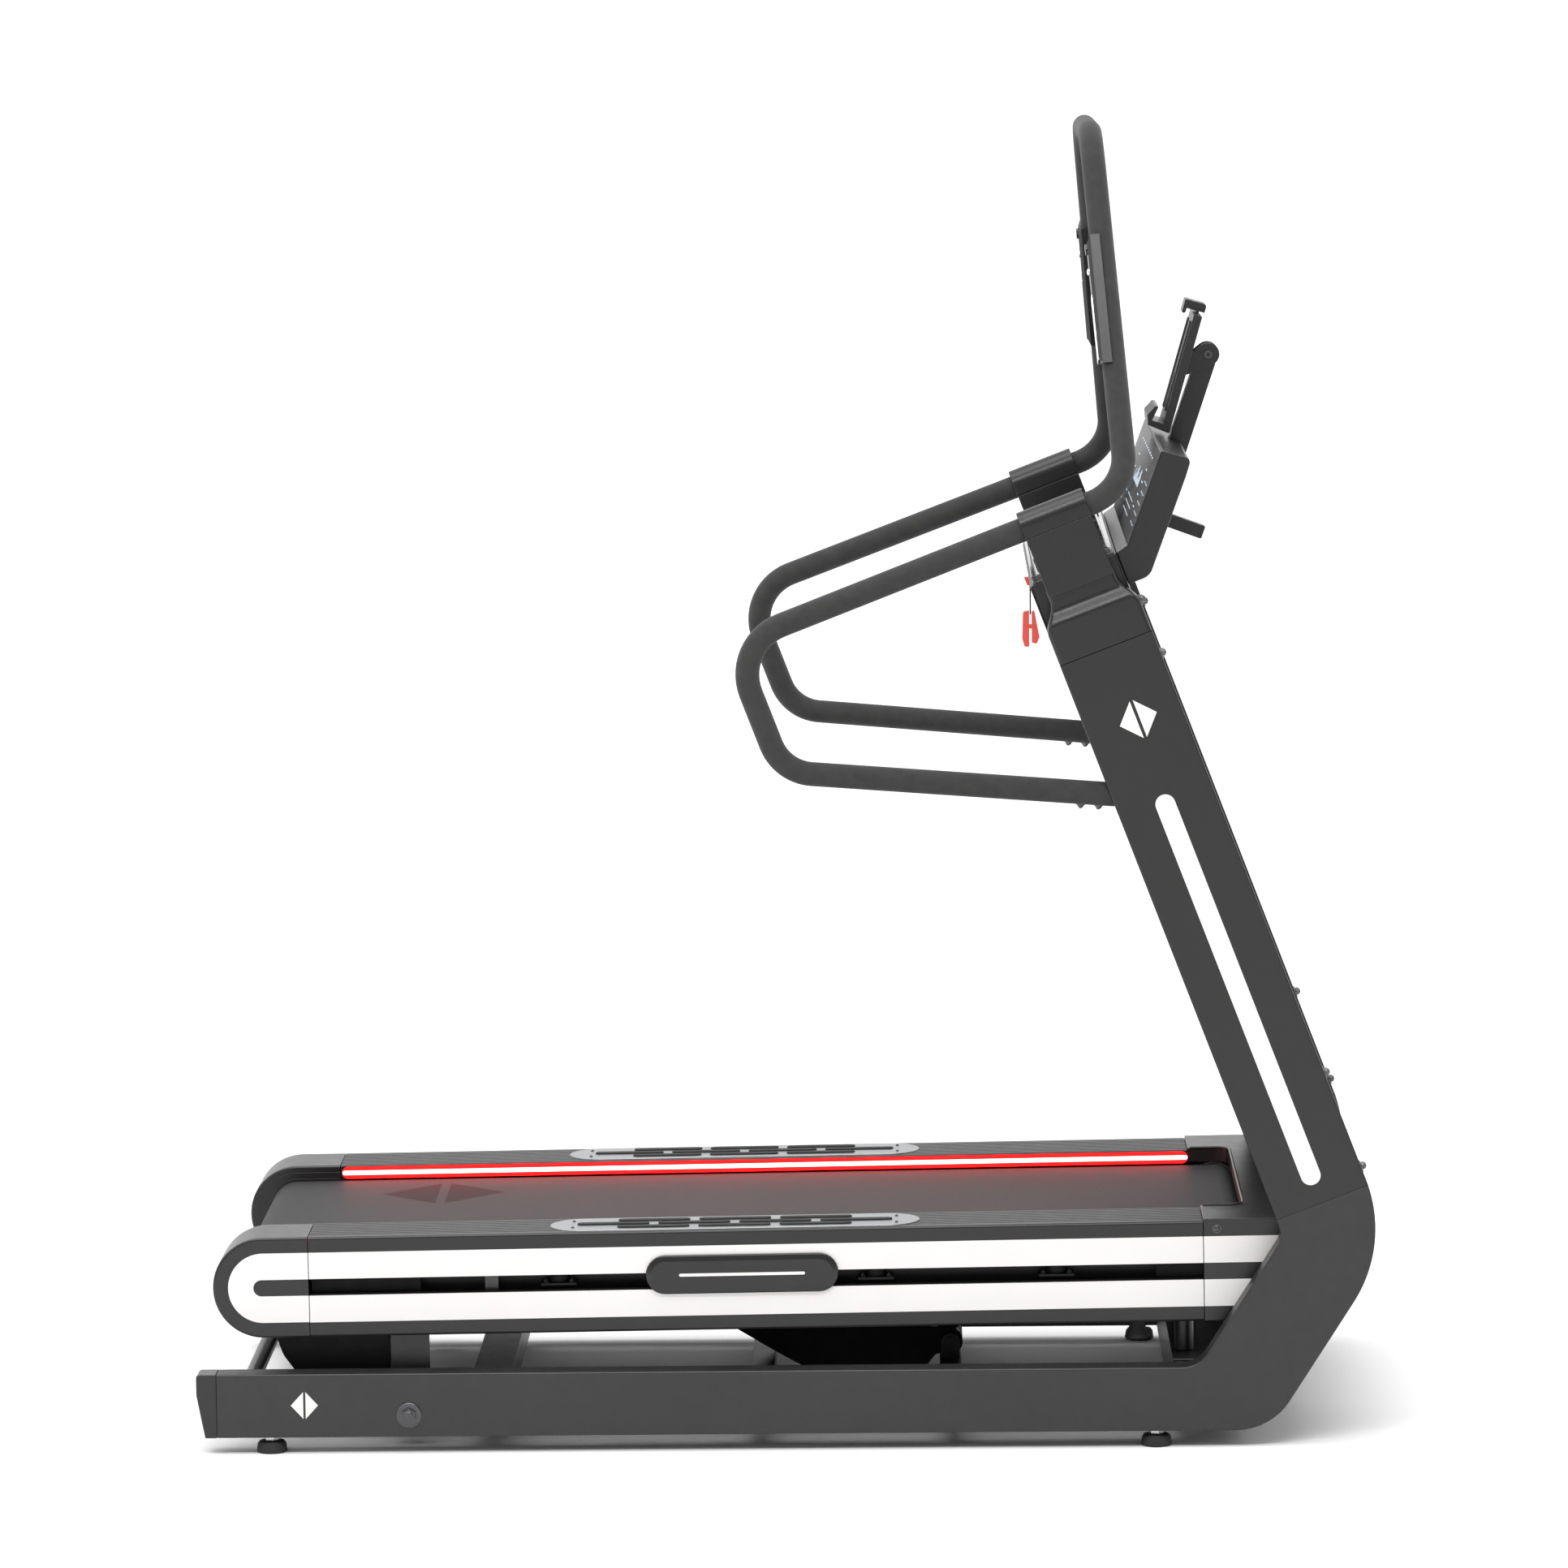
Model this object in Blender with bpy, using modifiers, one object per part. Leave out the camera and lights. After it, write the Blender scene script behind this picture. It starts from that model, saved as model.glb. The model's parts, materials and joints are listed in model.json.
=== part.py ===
"""Motorised high-incline treadmill, modelled as an assembly of separate sub-parts.

Metres, +Z up, +X towards the console, +Y to the runner's left. The origin is on the floor, under the
middle of the machine. Two C-shaped tube frames stand on levelling feet and carry leaning uprights, the
console and the handlebars. The running deck lies between them and tips nose-up about two pivot bolts.
"""

import math

import bmesh
import bpy
from mathutils import Matrix, Vector

# Overall sizes
LENGTH = 1.72
FRAME_WIDTH = 0.85
GAP = 0.0003

# Side frames: a flat rectangular tube, bent into a rail and an elbow
TUBE_DEPTH = 0.045
TUBE_WALL = 0.003
RAIL_BOTTOM = 0.024
RAIL_HEIGHT = 0.094
END_CAP_LENGTH = 0.030
ELBOW_START = 0.1527
ELBOW_ANGLE = math.radians(57.2)
ELBOW_WIDTH = 0.139
ELBOW_HEEL_RADIUS = 0.094
ELBOW_KNEE_RADIUS = 0.2009
ELBOW_INNER_RADIUS = 0.045
ELBOW_CROOK_RADIUS = 0.03

# Uprights, in (along, across): along runs up the upright from its seam, across runs from its rear edge
LEAN = math.radians(20.85)
UPRIGHT_FOOT_X = 0.1433
UPRIGHT_FOOT_Z = 0.3344
UPRIGHT_WIDTH = 0.142
UPRIGHT_LENGTH = 0.868
HEAD_SHOULDER = 0.054
HEAD_FLARE = 0.050
BRACKET_HEIGHT = 0.101
BRACKET_INSET = 0.021

# Feet and pivot
FOOT_INSET_REAR = 0.1076
FOOT_INSET_FRONT = 0.319
FOOT_PAD_RADIUS = 0.0225
FOOT_PAD_HEIGHT = 0.016
FOOT_STUD_RADIUS = 0.005
PIVOT_FROM_REAR = 0.3105
PIVOT_Z = 0.0565
PIVOT_BOLT_RADIUS = 0.008
PIVOT_WASHER_RADIUS = 0.0165
PIVOT_HEX_RADIUS = 0.0112

# Base cross members
REAR_TUBE_RADIUS = 0.0125
REAR_TUBE_FROM_REAR = 0.071
REAR_TUBE_Z = 0.088
BEAM_WALL = 0.003
BEAMS = {
    "cross_beam_rear": (0.398, 0.056, 0.050, 0.095),
    "cross_beam_middle": (0.804, 0.034, 0.030, 0.062),
}
LIFT_BEAM_FROM_FRONT = 0.617
LIFT_BEAM_WIDTH = 0.032
LIFT_BEAM_LOW = 0.030
LIFT_BEAM_HIGH = 0.062
PAN_REAR_FROM_FRONT = 0.294
PAN_LENGTH = 0.130
PAN_LOW = 0.035
PAN_HIGH = 0.122
PAN_SHEET = 0.004

# Panel between the uprights, along their front edges
PANEL_LOW_ALONG = 0.004
PANEL_HIGH_ALONG = 0.198
PANEL_REAR_ACROSS = 0.116
PANEL_FRONT_ACROSS = 0.139
PANEL_SHEET = 0.003

# Deck, modelled level and then raked about the pivot
DECK_RAKE = math.radians(0.59)
DECK_SIDE_GAP = 0.010
DECK_MIDDLE_Z = 0.238
DECK_SIDE_HALF_HEIGHT = 0.0742
DECK_SLOT_HALF = 0.0117
DECK_SHELL = 0.0035
RAIL_TOP_WIDTH = 0.118
RAIL_LIP_DROP = 0.0195
RAIL_RIB_PITCH = 0.010
RAIL_RIB_DEPTH = 0.0012
SKIRT_RETURN = 0.018
REAR_SEAM_FROM_REAR = 0.165
FRONT_SEAM_FROM_FRONT = 0.2453
REAR_ROLLER_FROM_REAR = 0.098
FRONT_ROLLER_FROM_FRONT = 0.205
ROLLER_RADIUS = 0.036
ROLLER_SHAFT_RADIUS = 0.008
BELT_TOP_Z = 0.289
BELT_THICKNESS = 0.0024
BELT_SIDE_GAP = 0.0035
BOARD_THICKNESS = 0.020
HOOD_RISE = 0.003
HOOD_FRONT_FROM_FRONT = 0.045
HOOD_NOSE_RADIUS = 0.058
HOOD_RECESS_FROM_FRONT = 0.182
HOOD_RECESS_RADIUS = 0.022

# Deck frame
BEAM_PLATE = 0.008
BEAM_PLATE_OUTSET = 0.056
BEAM_PLATE_BOTTOM = 0.176
DECK_BAR_LENGTH = 0.045
LEG_WIDTH = 0.056
LEG_THICKNESS = 0.010
LEG_RADIUS = 0.026
BUMPER_RADIUS = 0.014
BUMPER_FROM_FRONT = 0.2735
BUMPER_REST_GAP = 0.0005

# Drive
MOTOR_FROM_FRONT = 0.110
MOTOR_Z = 0.232
MOTOR_RADIUS = 0.042
MOTOR_LENGTH = 0.20
PULLEY_WIDTH = 0.014
ROLLER_PULLEY_RADIUS = 0.040
MOTOR_PULLEY_RADIUS = 0.018
DRIVE_BELT_THICKNESS = 0.003

# Lift gear
LIFT_PIVOT_Z = 0.085
LIFT_PIN_RADIUS = 0.009
LIFT_ARM_REACH = 0.363
LIFT_ROLLER_RADIUS = 0.016
LIFT_ROLLER_GAP = 0.005
LIFT_LEVER = 0.085
LIFT_LEVER_ANGLE = math.radians(97.8)
LIFT_ARM_HALF_WIDTH = 0.045
LIFT_ARM_PLATE = 0.006
LIFT_PAD_HEIGHT = 0.170
LIFT_PAD_THICKNESS = 0.010
LIFT_PAD_REAR = 0.030
LIFT_PAD_FRONT = 0.088
LIFT_ROD_RADIUS = 0.011
LIFT_ROD_LENGTH = 0.17
LIFT_CASE_RADIUS = 0.026
LIFT_CASE_LENGTH = 0.20
LIFT_EYE_RADIUS = 0.013

# Handlebars
GRIP_RADIUS = 0.0175
GRIP_ALONG = 1.0695
GRIP_REACH = 0.4287
GRIP_SPLAY = 0.0225
GRIP_LOWER_BEND_ALONG = 0.8713
GRIP_LOWER_END_ALONG = 0.6567
GRIP_UPPER_BEND_RADIUS = 0.076
GRIP_LOWER_BEND_RADIUS = 0.068
BAR_BEND_ACROSS = 0.182
BAR_BEND_RADIUS = 0.070
BAR_LEAN = 0.088
BAR_TOP_Z = 1.9035
BAR_TOP_HALF = 0.217
BAR_TOP_RADIUS = 0.085

# Control pods on the tall bar
POD_LOW_Z = 1.572
POD_HIGH_Z = 1.754
POD_HALF_WIDTH = 0.0215
POD_BACK = 0.0220
POD_FRONT = 0.003
POD_CHAMFER = 0.010
BUTTONS = {"oval_button": (1.739, 0.0085, 0.0055), "ball_button": (1.707, 0.0055, 0.0055)}
BUTTON_POCKET = 0.0030
BUTTON_SEAT = 0.0011
BUTTON_PROUD = 0.0030
BUTTON_CLEARANCE = 0.0004

# Console
BEAM_LOW_ALONG = 0.905
BEAM_HIGH_ALONG = 0.987
BEAM_FRONT_ACROSS = 0.134
CONSOLE_HALF_WIDTH = 0.36
CONSOLE_WALL = 0.003
GLASS_THICKNESS = 0.004
GLASS_MARGIN = 0.004
HOOK_HEIGHT = 0.020
HOOK_LENGTH = 0.074
HOOK_WIDTH = 0.022

# Tablet holder
ARM_HALF_WIDTH = 0.0195
ARM_PIVOT = (0.2210, 1.5690)
ARM_BARREL_RADIUS = 0.0150
HOLDER_PIN_RADIUS = 0.004
HOLDER_HALF_WIDTH = 0.075
HOLDER_EAR = 0.006
HOLDER_PLATE = 0.013
GRIP_HALF_WIDTH = 0.030

# Safety tether
KEY_Z = 1.231
KEY_PROUD = 0.009
KEY_HALF_WIDTH = 0.007
CORD_RADIUS = 0.0011
CLIP_TOP_Z = 1.187
CLIP_LENGTH = 0.054
CLIP_HALF_WIDTH = 0.008

# Power module
MODULE_Y = -0.24
MODULE_SIZE = (0.030, 0.058, 0.046)

REAR = -LENGTH / 2
FRONT = LENGTH / 2
FRAME_OUTER = FRAME_WIDTH / 2
FRAME_INNER = FRAME_OUTER - TUBE_DEPTH
TUBE_MIDDLE = FRAME_OUTER - TUBE_DEPTH / 2
RAIL_TOP = RAIL_BOTTOM + RAIL_HEIGHT
DECK_HALF = FRAME_INNER - DECK_SIDE_GAP
DECK_TOP = DECK_MIDDLE_Z + DECK_SIDE_HALF_HEIGHT
DECK_BOTTOM = DECK_MIDDLE_Z - DECK_SIDE_HALF_HEIGHT
RAIL_INNER = DECK_HALF - RAIL_TOP_WIDTH
REAR_SEAM = REAR + REAR_SEAM_FROM_REAR
FRONT_SEAM = FRONT - FRONT_SEAM_FROM_FRONT
PIVOT_X = REAR + PIVOT_FROM_REAR
BELT_HALF = RAIL_INNER - BELT_SIDE_GAP
ROLLER_Z = BELT_TOP_Z - BELT_THICKNESS - ROLLER_RADIUS
REAR_ROLLER_X = REAR + REAR_ROLLER_FROM_REAR
FRONT_ROLLER_X = FRONT - FRONT_ROLLER_FROM_FRONT
BOARD_TOP = BELT_TOP_Z - BELT_THICKNESS - GAP
BOARD_BOTTOM = BOARD_TOP - BOARD_THICKNESS
PLATE_OUTER = RAIL_INNER + BEAM_PLATE_OUTSET
PLATE_INNER = PLATE_OUTER - BEAM_PLATE
HEAD_TOP = UPRIGHT_LENGTH + HEAD_SHOULDER + HEAD_FLARE
LIFT_X = FRONT - LIFT_BEAM_FROM_FRONT
MOTOR_X = FRONT - MOTOR_FROM_FRONT
PULLEY_Y = RAIL_INNER + 0.026
LEG_OUTER = DECK_HALF - 0.008

UP = Vector((-math.sin(LEAN), 0, math.cos(LEAN)))
ACROSS = Vector((math.cos(LEAN), 0, math.sin(LEAN)))
FOOT_OF_UPRIGHT = Vector((FRONT - UPRIGHT_FOOT_X, 0, UPRIGHT_FOOT_Z))

PAINT = ((0.030, 0.030, 0.032), 0.45, 0.3)
PLASTIC = ((0.020, 0.020, 0.022), 0.50, 0.0)
GLOSS = ((0.012, 0.012, 0.014), 0.12, 0.0)
FOAM = ((0.035, 0.035, 0.036), 0.85, 0.0)
STEEL = ((0.55, 0.55, 0.56), 0.30, 1.0)
CHROME = ((0.80, 0.80, 0.82), 0.10, 1.0)
RUBBER = ((0.015, 0.015, 0.015), 0.90, 0.0)
BELT = ((0.030, 0.030, 0.032), 0.80, 0.0)
WOOD = ((0.25, 0.16, 0.09), 0.60, 0.0)
RED = ((0.75, 0.10, 0.07), 0.45, 0.0)
GREY = ((0.30, 0.30, 0.31), 0.50, 0.0)


def clear_scene():
    for obj in list(bpy.data.objects):
        bpy.data.objects.remove(obj)


def new_collection(name):
    collection = bpy.data.collections.new(name)
    bpy.context.scene.collection.children.link(collection)
    return collection


clear_scene()
PARTS = new_collection("treadmill")
CUTTERS = new_collection("cutters")
CUTTERS.hide_render = True


# Points and outlines


def up_point(along, across, y=0.0):
    """A point in the uprights' own directions."""
    return FOOT_OF_UPRIGHT + UP * along + ACROSS * across + Vector((0, y, 0))


def up_corner(along, across, radius=0.0):
    point = up_point(along, across)
    return (point.x, point.z, radius)


def meet(point, direction, other, other_direction):
    """Where two lines in the X-Z plane cross."""
    cross = direction[0] * other_direction[1] - direction[1] * other_direction[0]
    away = (other[0] - point[0], other[1] - point[1])
    along = (away[0] * other_direction[1] - away[1] * other_direction[0]) / cross
    return (point[0] + direction[0] * along, point[1] + direction[1] * along)


def bend(previous, corner, following, radius, steps):
    """Points of the arc that rounds one corner of a path of vectors."""
    back = (previous - corner).normalized()
    ahead = (following - corner).normalized()
    half = back.angle(ahead) / 2
    reach = radius / math.tan(half)
    centre = corner + (back + ahead).normalized() * (radius / math.sin(half))
    start = corner + back * reach - centre
    end = corner + ahead * reach - centre
    normal = start.cross(end).normalized()
    turn = math.pi - 2 * half
    return [centre + Matrix.Rotation(turn * i / steps, 3, normal) @ start for i in range(steps + 1)]


def rounded(corners, steps=6):
    """A closed outline from (u, v, radius) corners."""
    points = []
    count = len(corners)
    for i, (u, v, radius) in enumerate(corners):
        corner = Vector((u, v, 0))
        if radius <= 0:
            points.append(corner)
            continue
        before = Vector((*corners[i - 1][:2], 0))
        after = Vector((*corners[(i + 1) % count][:2], 0))
        points += bend(before, corner, after, radius, steps)
    return [(p.x, p.y) for p in points]


def circle(centre, radius, steps=24):
    turns = [2 * math.pi * i / steps for i in range(steps)]
    return [(centre[0] + radius * math.cos(t), centre[1] + radius * math.sin(t)) for t in turns]


def around_two(first, first_radius, second, second_radius, steps=16):
    """The outline of a loop stretched round two circles, with its sides just outside them."""
    du = second[0] - first[0]
    dv = second[1] - first[1]
    tilt = math.atan2(dv, du)
    spread = math.acos((first_radius - second_radius) / math.hypot(du, dv))
    points = []
    ends = (
        (first, first_radius, tilt + spread, 2 * math.pi - 2 * spread),
        (second, second_radius, tilt - spread, 2 * spread),
    )
    for centre, radius, start, sweep in ends:
        step = sweep / steps
        reach = radius / math.cos(step / 2)
        for i in range(steps):
            turn = start + step * (i + 0.5)
            points.append((centre[0] + reach * math.cos(turn), centre[1] + reach * math.sin(turn)))
    return points


def smooth_path(corners, steps=6):
    """A polyline through (point, radius) corners, with arcs at the corners."""
    points = [corners[0][0]]
    for i in range(1, len(corners) - 1):
        corner, radius = corners[i]
        points += bend(corners[i - 1][0], corner, corners[i + 1][0], radius, steps)
    points.append(corners[-1][0])
    return points


# Objects


def finish(name, mesh, look, smooth=True):
    """Links a mesh as a sub-part with a material of its own."""
    obj = bpy.data.objects.new(name, mesh)
    PARTS.objects.link(obj)
    colour, roughness, metallic = look
    material = bpy.data.materials.new(name)
    material.use_nodes = True
    shader = material.node_tree.nodes["Principled BSDF"]
    shader.inputs["Base Color"].default_value = (*colour, 1)
    shader.inputs["Roughness"].default_value = roughness
    shader.inputs["Metallic"].default_value = metallic
    mesh.materials.clear()
    mesh.materials.append(material)
    if smooth:
        mesh.shade_smooth()
        mesh.set_sharp_from_angle(angle=math.radians(30))
    return obj


def mesh_of_curve(curve, matrix):
    """The closed mesh of a filled or bevelled curve."""
    helper = bpy.data.objects.new("helper", curve)
    CUTTERS.objects.link(helper)
    helper.matrix_world = matrix
    bpy.context.view_layer.update()
    graph = bpy.context.evaluated_depsgraph_get()
    mesh = bpy.data.meshes.new_from_object(helper.evaluated_get(graph))
    mesh.transform(matrix)
    bpy.data.objects.remove(helper)
    work = bmesh.new()
    work.from_mesh(mesh)
    bmesh.ops.remove_doubles(work, verts=work.verts, dist=1e-6)
    bmesh.ops.recalc_face_normals(work, faces=work.faces)
    work.to_mesh(mesh)
    work.free()
    return mesh


def prism(outlines, low, high, plane="XZ"):
    """The mesh of filled outlines, extruded from low to high across their plane."""
    curve = bpy.data.curves.new("outline", "CURVE")
    curve.dimensions = "2D"
    curve.fill_mode = "BOTH"
    curve.extrude = (high - low) / 2
    for outline in outlines:
        spline = curve.splines.new("POLY")
        spline.points.add(len(outline) - 1)
        for point, (u, v) in zip(spline.points, outline):
            point.co = (u, v, 0, 1)
        spline.use_cyclic_u = True
    middle = (low + high) / 2
    turns = {
        "XZ": Matrix.Translation((0, middle, 0)) @ Matrix.Rotation(math.pi / 2, 4, "X"),
        "YZ": Matrix.Translation((middle, 0, 0)) @ Matrix.Rotation(math.radians(120), 4, (1, 1, 1)),
        "XY": Matrix.Translation((0, 0, middle)),
    }
    return mesh_of_curve(curve, turns[plane])


def pipe(points, radius, resolution=3):
    """The mesh of a round bar along a polyline."""
    curve = bpy.data.curves.new("path", "CURVE")
    curve.dimensions = "3D"
    curve.bevel_depth = radius
    curve.bevel_resolution = resolution
    curve.use_fill_caps = True
    spline = curve.splines.new("POLY")
    spline.points.add(len(points) - 1)
    for point, place in zip(spline.points, points):
        point.co = (*place, 1)
    return mesh_of_curve(curve, Matrix())


def block(low, high):
    """The mesh of a box between two corners."""
    work = bmesh.new()
    bmesh.ops.create_cube(work, size=1)
    size = Vector(high) - Vector(low)
    middle = (Vector(low) + Vector(high)) / 2
    matrix = Matrix.Translation(middle) @ Matrix.Diagonal((*size, 1))
    bmesh.ops.transform(work, matrix=matrix, verts=work.verts)
    mesh = bpy.data.meshes.new("block")
    work.to_mesh(mesh)
    work.free()
    return mesh


def rod(start, end, radius, sides=24, end_radius=None):
    """The mesh of a round bar or cone between two points."""
    start = Vector(start)
    axis = Vector(end) - start
    work = bmesh.new()
    last = radius if end_radius is None else end_radius
    bmesh.ops.create_cone(
        work, cap_ends=True, segments=sides, radius1=radius, radius2=last, depth=axis.length
    )
    turn = Vector((0, 0, 1)).rotation_difference(axis).to_matrix().to_4x4()
    bmesh.ops.transform(work, matrix=Matrix.Translation(start + axis / 2) @ turn, verts=work.verts)
    mesh = bpy.data.meshes.new("rod")
    work.to_mesh(mesh)
    work.free()
    return mesh


def boolean(obj, mesh, operation):
    """Adds one Boolean to a sub-part, with its operand among the cutters."""
    other = bpy.data.objects.new(obj.name + "_" + operation.lower(), mesh)
    CUTTERS.objects.link(other)
    other.parent = obj
    other.hide_render = True
    other.display_type = "WIRE"
    modifier = obj.modifiers.new(operation.title(), "BOOLEAN")
    modifier.operation = operation
    modifier.object = other
    modifier.solver = "EXACT"


def cut(obj, *meshes):
    for mesh in meshes:
        boolean(obj, mesh, "DIFFERENCE")


def join(obj, *meshes):
    for mesh in meshes:
        boolean(obj, mesh, "UNION")


def lathe(name, profile, look, centre, sides=24):
    """A turned sub-part about a vertical axis, from (radius, height) points that run top to bottom."""
    mesh = bpy.data.meshes.new(name)
    places = [(r, 0, z) for r, z in profile]
    mesh.from_pydata(places, [(i, i + 1) for i in range(len(places) - 1)], [])
    obj = finish(name, mesh, look, smooth=False)
    obj.location = centre
    screw = obj.modifiers.new("Screw", "SCREW")
    screw.steps = sides
    screw.render_steps = sides
    screw.use_merge_vertices = True
    screw.merge_threshold = 1e-5
    screw.use_smooth_shade = True
    return obj


def pivot(name, place, parent=None):
    """An empty on a joint's axis. Its place is given in the level deck's or the base's coordinates."""
    empty = bpy.data.objects.new(name, None)
    empty.empty_display_size = 0.05
    empty.location = place
    PARTS.objects.link(empty)
    if parent:
        hang(empty, parent)
    return empty


def hang(obj, empty):
    """Parents an object to an empty, keeping the place it was modelled in."""
    obj.parent = empty
    obj.matrix_parent_inverse = Matrix.Translation(-empty.location)


SIDES = (("right", -1), ("left", 1))


def span(side, inner, outer):
    """The low and high Y of a slab between two distances from the middle plane."""
    return (-outer, -inner) if side < 0 else (inner, outer)


# Base frame


def side_frame_corners(inset, overrun):
    """Outline of the C-shaped tube, drawn in by a wall and run on past its open ends."""
    elbow = (math.cos(ELBOW_ANGLE), math.sin(ELBOW_ANGLE))
    upright = (-math.sin(LEAN), math.cos(LEAN))
    normal = (-elbow[1], elbow[0])
    floor = (REAR + END_CAP_LENGTH - overrun, RAIL_BOTTOM + inset)
    top = (floor[0], RAIL_TOP - inset)
    heel = (FRONT - ELBOW_START, RAIL_BOTTOM)
    outer = (heel[0] + normal[0] * inset, heel[1] + normal[1] * inset)
    inner_reach = ELBOW_WIDTH - inset
    inner = (heel[0] + normal[0] * inner_reach, heel[1] + normal[1] * inner_reach)
    front = up_point(overrun - GAP / 2, UPRIGHT_WIDTH - inset)
    rear = up_point(overrun - GAP / 2, inset)
    front_point = (front.x, front.z)
    rear_point = (rear.x, rear.z)
    heel_corner = meet(floor, (1, 0), outer, elbow)
    knee_corner = meet(outer, elbow, front_point, upright)
    crook_corner = meet(inner, elbow, rear_point, upright)
    toe_corner = meet(top, (1, 0), inner, elbow)
    return [
        (*floor, 0),
        (*heel_corner, ELBOW_HEEL_RADIUS - inset),
        (*knee_corner, ELBOW_KNEE_RADIUS - inset),
        (*front_point, 0),
        (*rear_point, 0),
        (*crook_corner, ELBOW_CROOK_RADIUS + inset),
        (*toe_corner, ELBOW_INNER_RADIUS + inset),
        (*top, 0),
    ]


def trimmed(points):
    """Leaves out the end of the knee's curve, where it runs on past the joint with the upright."""
    kept = []
    for u, v in points:
        away = Vector((u, 0, v)) - FOOT_OF_UPRIGHT
        if away.dot(ACROSS) < UPRIGHT_WIDTH / 2 or away.dot(UP) < -GAP / 4:
            kept.append((u, v))
    return kept


def make_side_frames():
    for label, side in SIDES:
        outer = trimmed(rounded(side_frame_corners(0, 0), 8))
        inner = rounded(side_frame_corners(TUBE_WALL, 0.02), 8)
        obj = finish("side_frame_" + label, prism([outer], *span(side, FRAME_INNER, FRAME_OUTER)), PAINT)
        cut(obj, prism([inner], *span(side, FRAME_INNER + TUBE_WALL, FRAME_OUTER - TUBE_WALL)))
        hole = PIVOT_BOLT_RADIUS + 0.0004
        ends = [(PIVOT_X, side * y, PIVOT_Z) for y in (FRAME_INNER - 0.01, FRAME_OUTER + 0.01)]
        cut(obj, rod(*ends, hole))
        for x in (REAR + FOOT_INSET_REAR, FRONT - FOOT_INSET_FRONT):
            low = (x, side * TUBE_MIDDLE, RAIL_BOTTOM - 0.01)
            high = (x, side * TUBE_MIDDLE, RAIL_BOTTOM + 0.01)
            cut(obj, rod(low, high, FOOT_STUD_RADIUS + 0.0005, 16))


def make_end_caps():
    for label, side in SIDES:
        seam = REAR + END_CAP_LENGTH - GAP
        slant = REAR + 0.4 * END_CAP_LENGTH
        waist = RAIL_BOTTOM + 0.68 * RAIL_HEIGHT
        corners = [
            (slant, RAIL_BOTTOM, 0.002),
            (seam, RAIL_BOTTOM, 0),
            (seam, RAIL_TOP, 0),
            (REAR, RAIL_TOP, 0.005),
            (REAR, waist, 0.02),
        ]
        outline = rounded(corners, 3)
        finish("rail_end_cap_" + label, prism([outline], *span(side, FRAME_INNER, FRAME_OUTER)), PLASTIC)


def make_feet():
    top = RAIL_BOTTOM - GAP
    stud_top = RAIL_BOTTOM + 0.03
    neck = FOOT_PAD_HEIGHT
    profile = [
        (0, stud_top),
        (FOOT_STUD_RADIUS, stud_top),
        (FOOT_STUD_RADIUS, top),
        (0.009, top),
        (0.009, neck + 0.002),
        (FOOT_PAD_RADIUS - 0.004, neck),
        (FOOT_PAD_RADIUS - 0.001, neck - 0.003),
        (FOOT_PAD_RADIUS, 0.002),
        (FOOT_PAD_RADIUS - 0.0015, 0),
        (0, 0),
    ]
    places = {"rear": REAR + FOOT_INSET_REAR, "front": FRONT - FOOT_INSET_FRONT}
    for end, x in places.items():
        for label, side in SIDES:
            lathe("foot_" + end + "_" + label, profile, RUBBER, (x, side * TUBE_MIDDLE, 0))


def make_pivot_bolts():
    for label, side in SIDES:
        def at(y):
            return (PIVOT_X, side * y, PIVOT_Z)

        face = FRAME_OUTER + GAP
        tip = LEG_OUTER - LEG_THICKNESS - 0.006
        obj = finish("deck_pivot_bolt_" + label, rod(at(tip), at(face + 0.001), PIVOT_BOLT_RADIUS), STEEL)
        join(obj, rod(at(face), at(face + 0.002), PIVOT_WASHER_RADIUS))
        join(obj, rod(at(face + 0.0015), at(face + 0.008), PIVOT_HEX_RADIUS, 6))


def open_box(name, low, high, wall, look):
    """A rectangular tube lying along Y, open at both ends."""
    obj = finish(name, block(low, high), look)
    inner_low = (low[0] + wall, low[1] - 0.01, low[2] + wall)
    inner_high = (high[0] - wall, high[1] + 0.01, high[2] - wall)
    cut(obj, block(inner_low, inner_high))
    return obj


def make_cross_members():
    half = FRAME_INNER - GAP
    tube_x = REAR + REAR_TUBE_FROM_REAR
    ends = [(tube_x, y, REAR_TUBE_Z) for y in (-half, half)]
    tube = finish("rear_cross_tube", rod(*ends, REAR_TUBE_RADIUS), PAINT)
    bore = [(tube_x, y, REAR_TUBE_Z) for y in (-half - 0.01, half + 0.01)]
    cut(tube, rod(*bore, REAR_TUBE_RADIUS - 0.002))
    for name, (from_rear, width, low, high) in BEAMS.items():
        x = REAR + from_rear
        open_box(name, (x, -half, low), (x + width, half, high), BEAM_WALL, PAINT)
    make_lift_beam(half)
    make_floor_pan(half)


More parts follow.
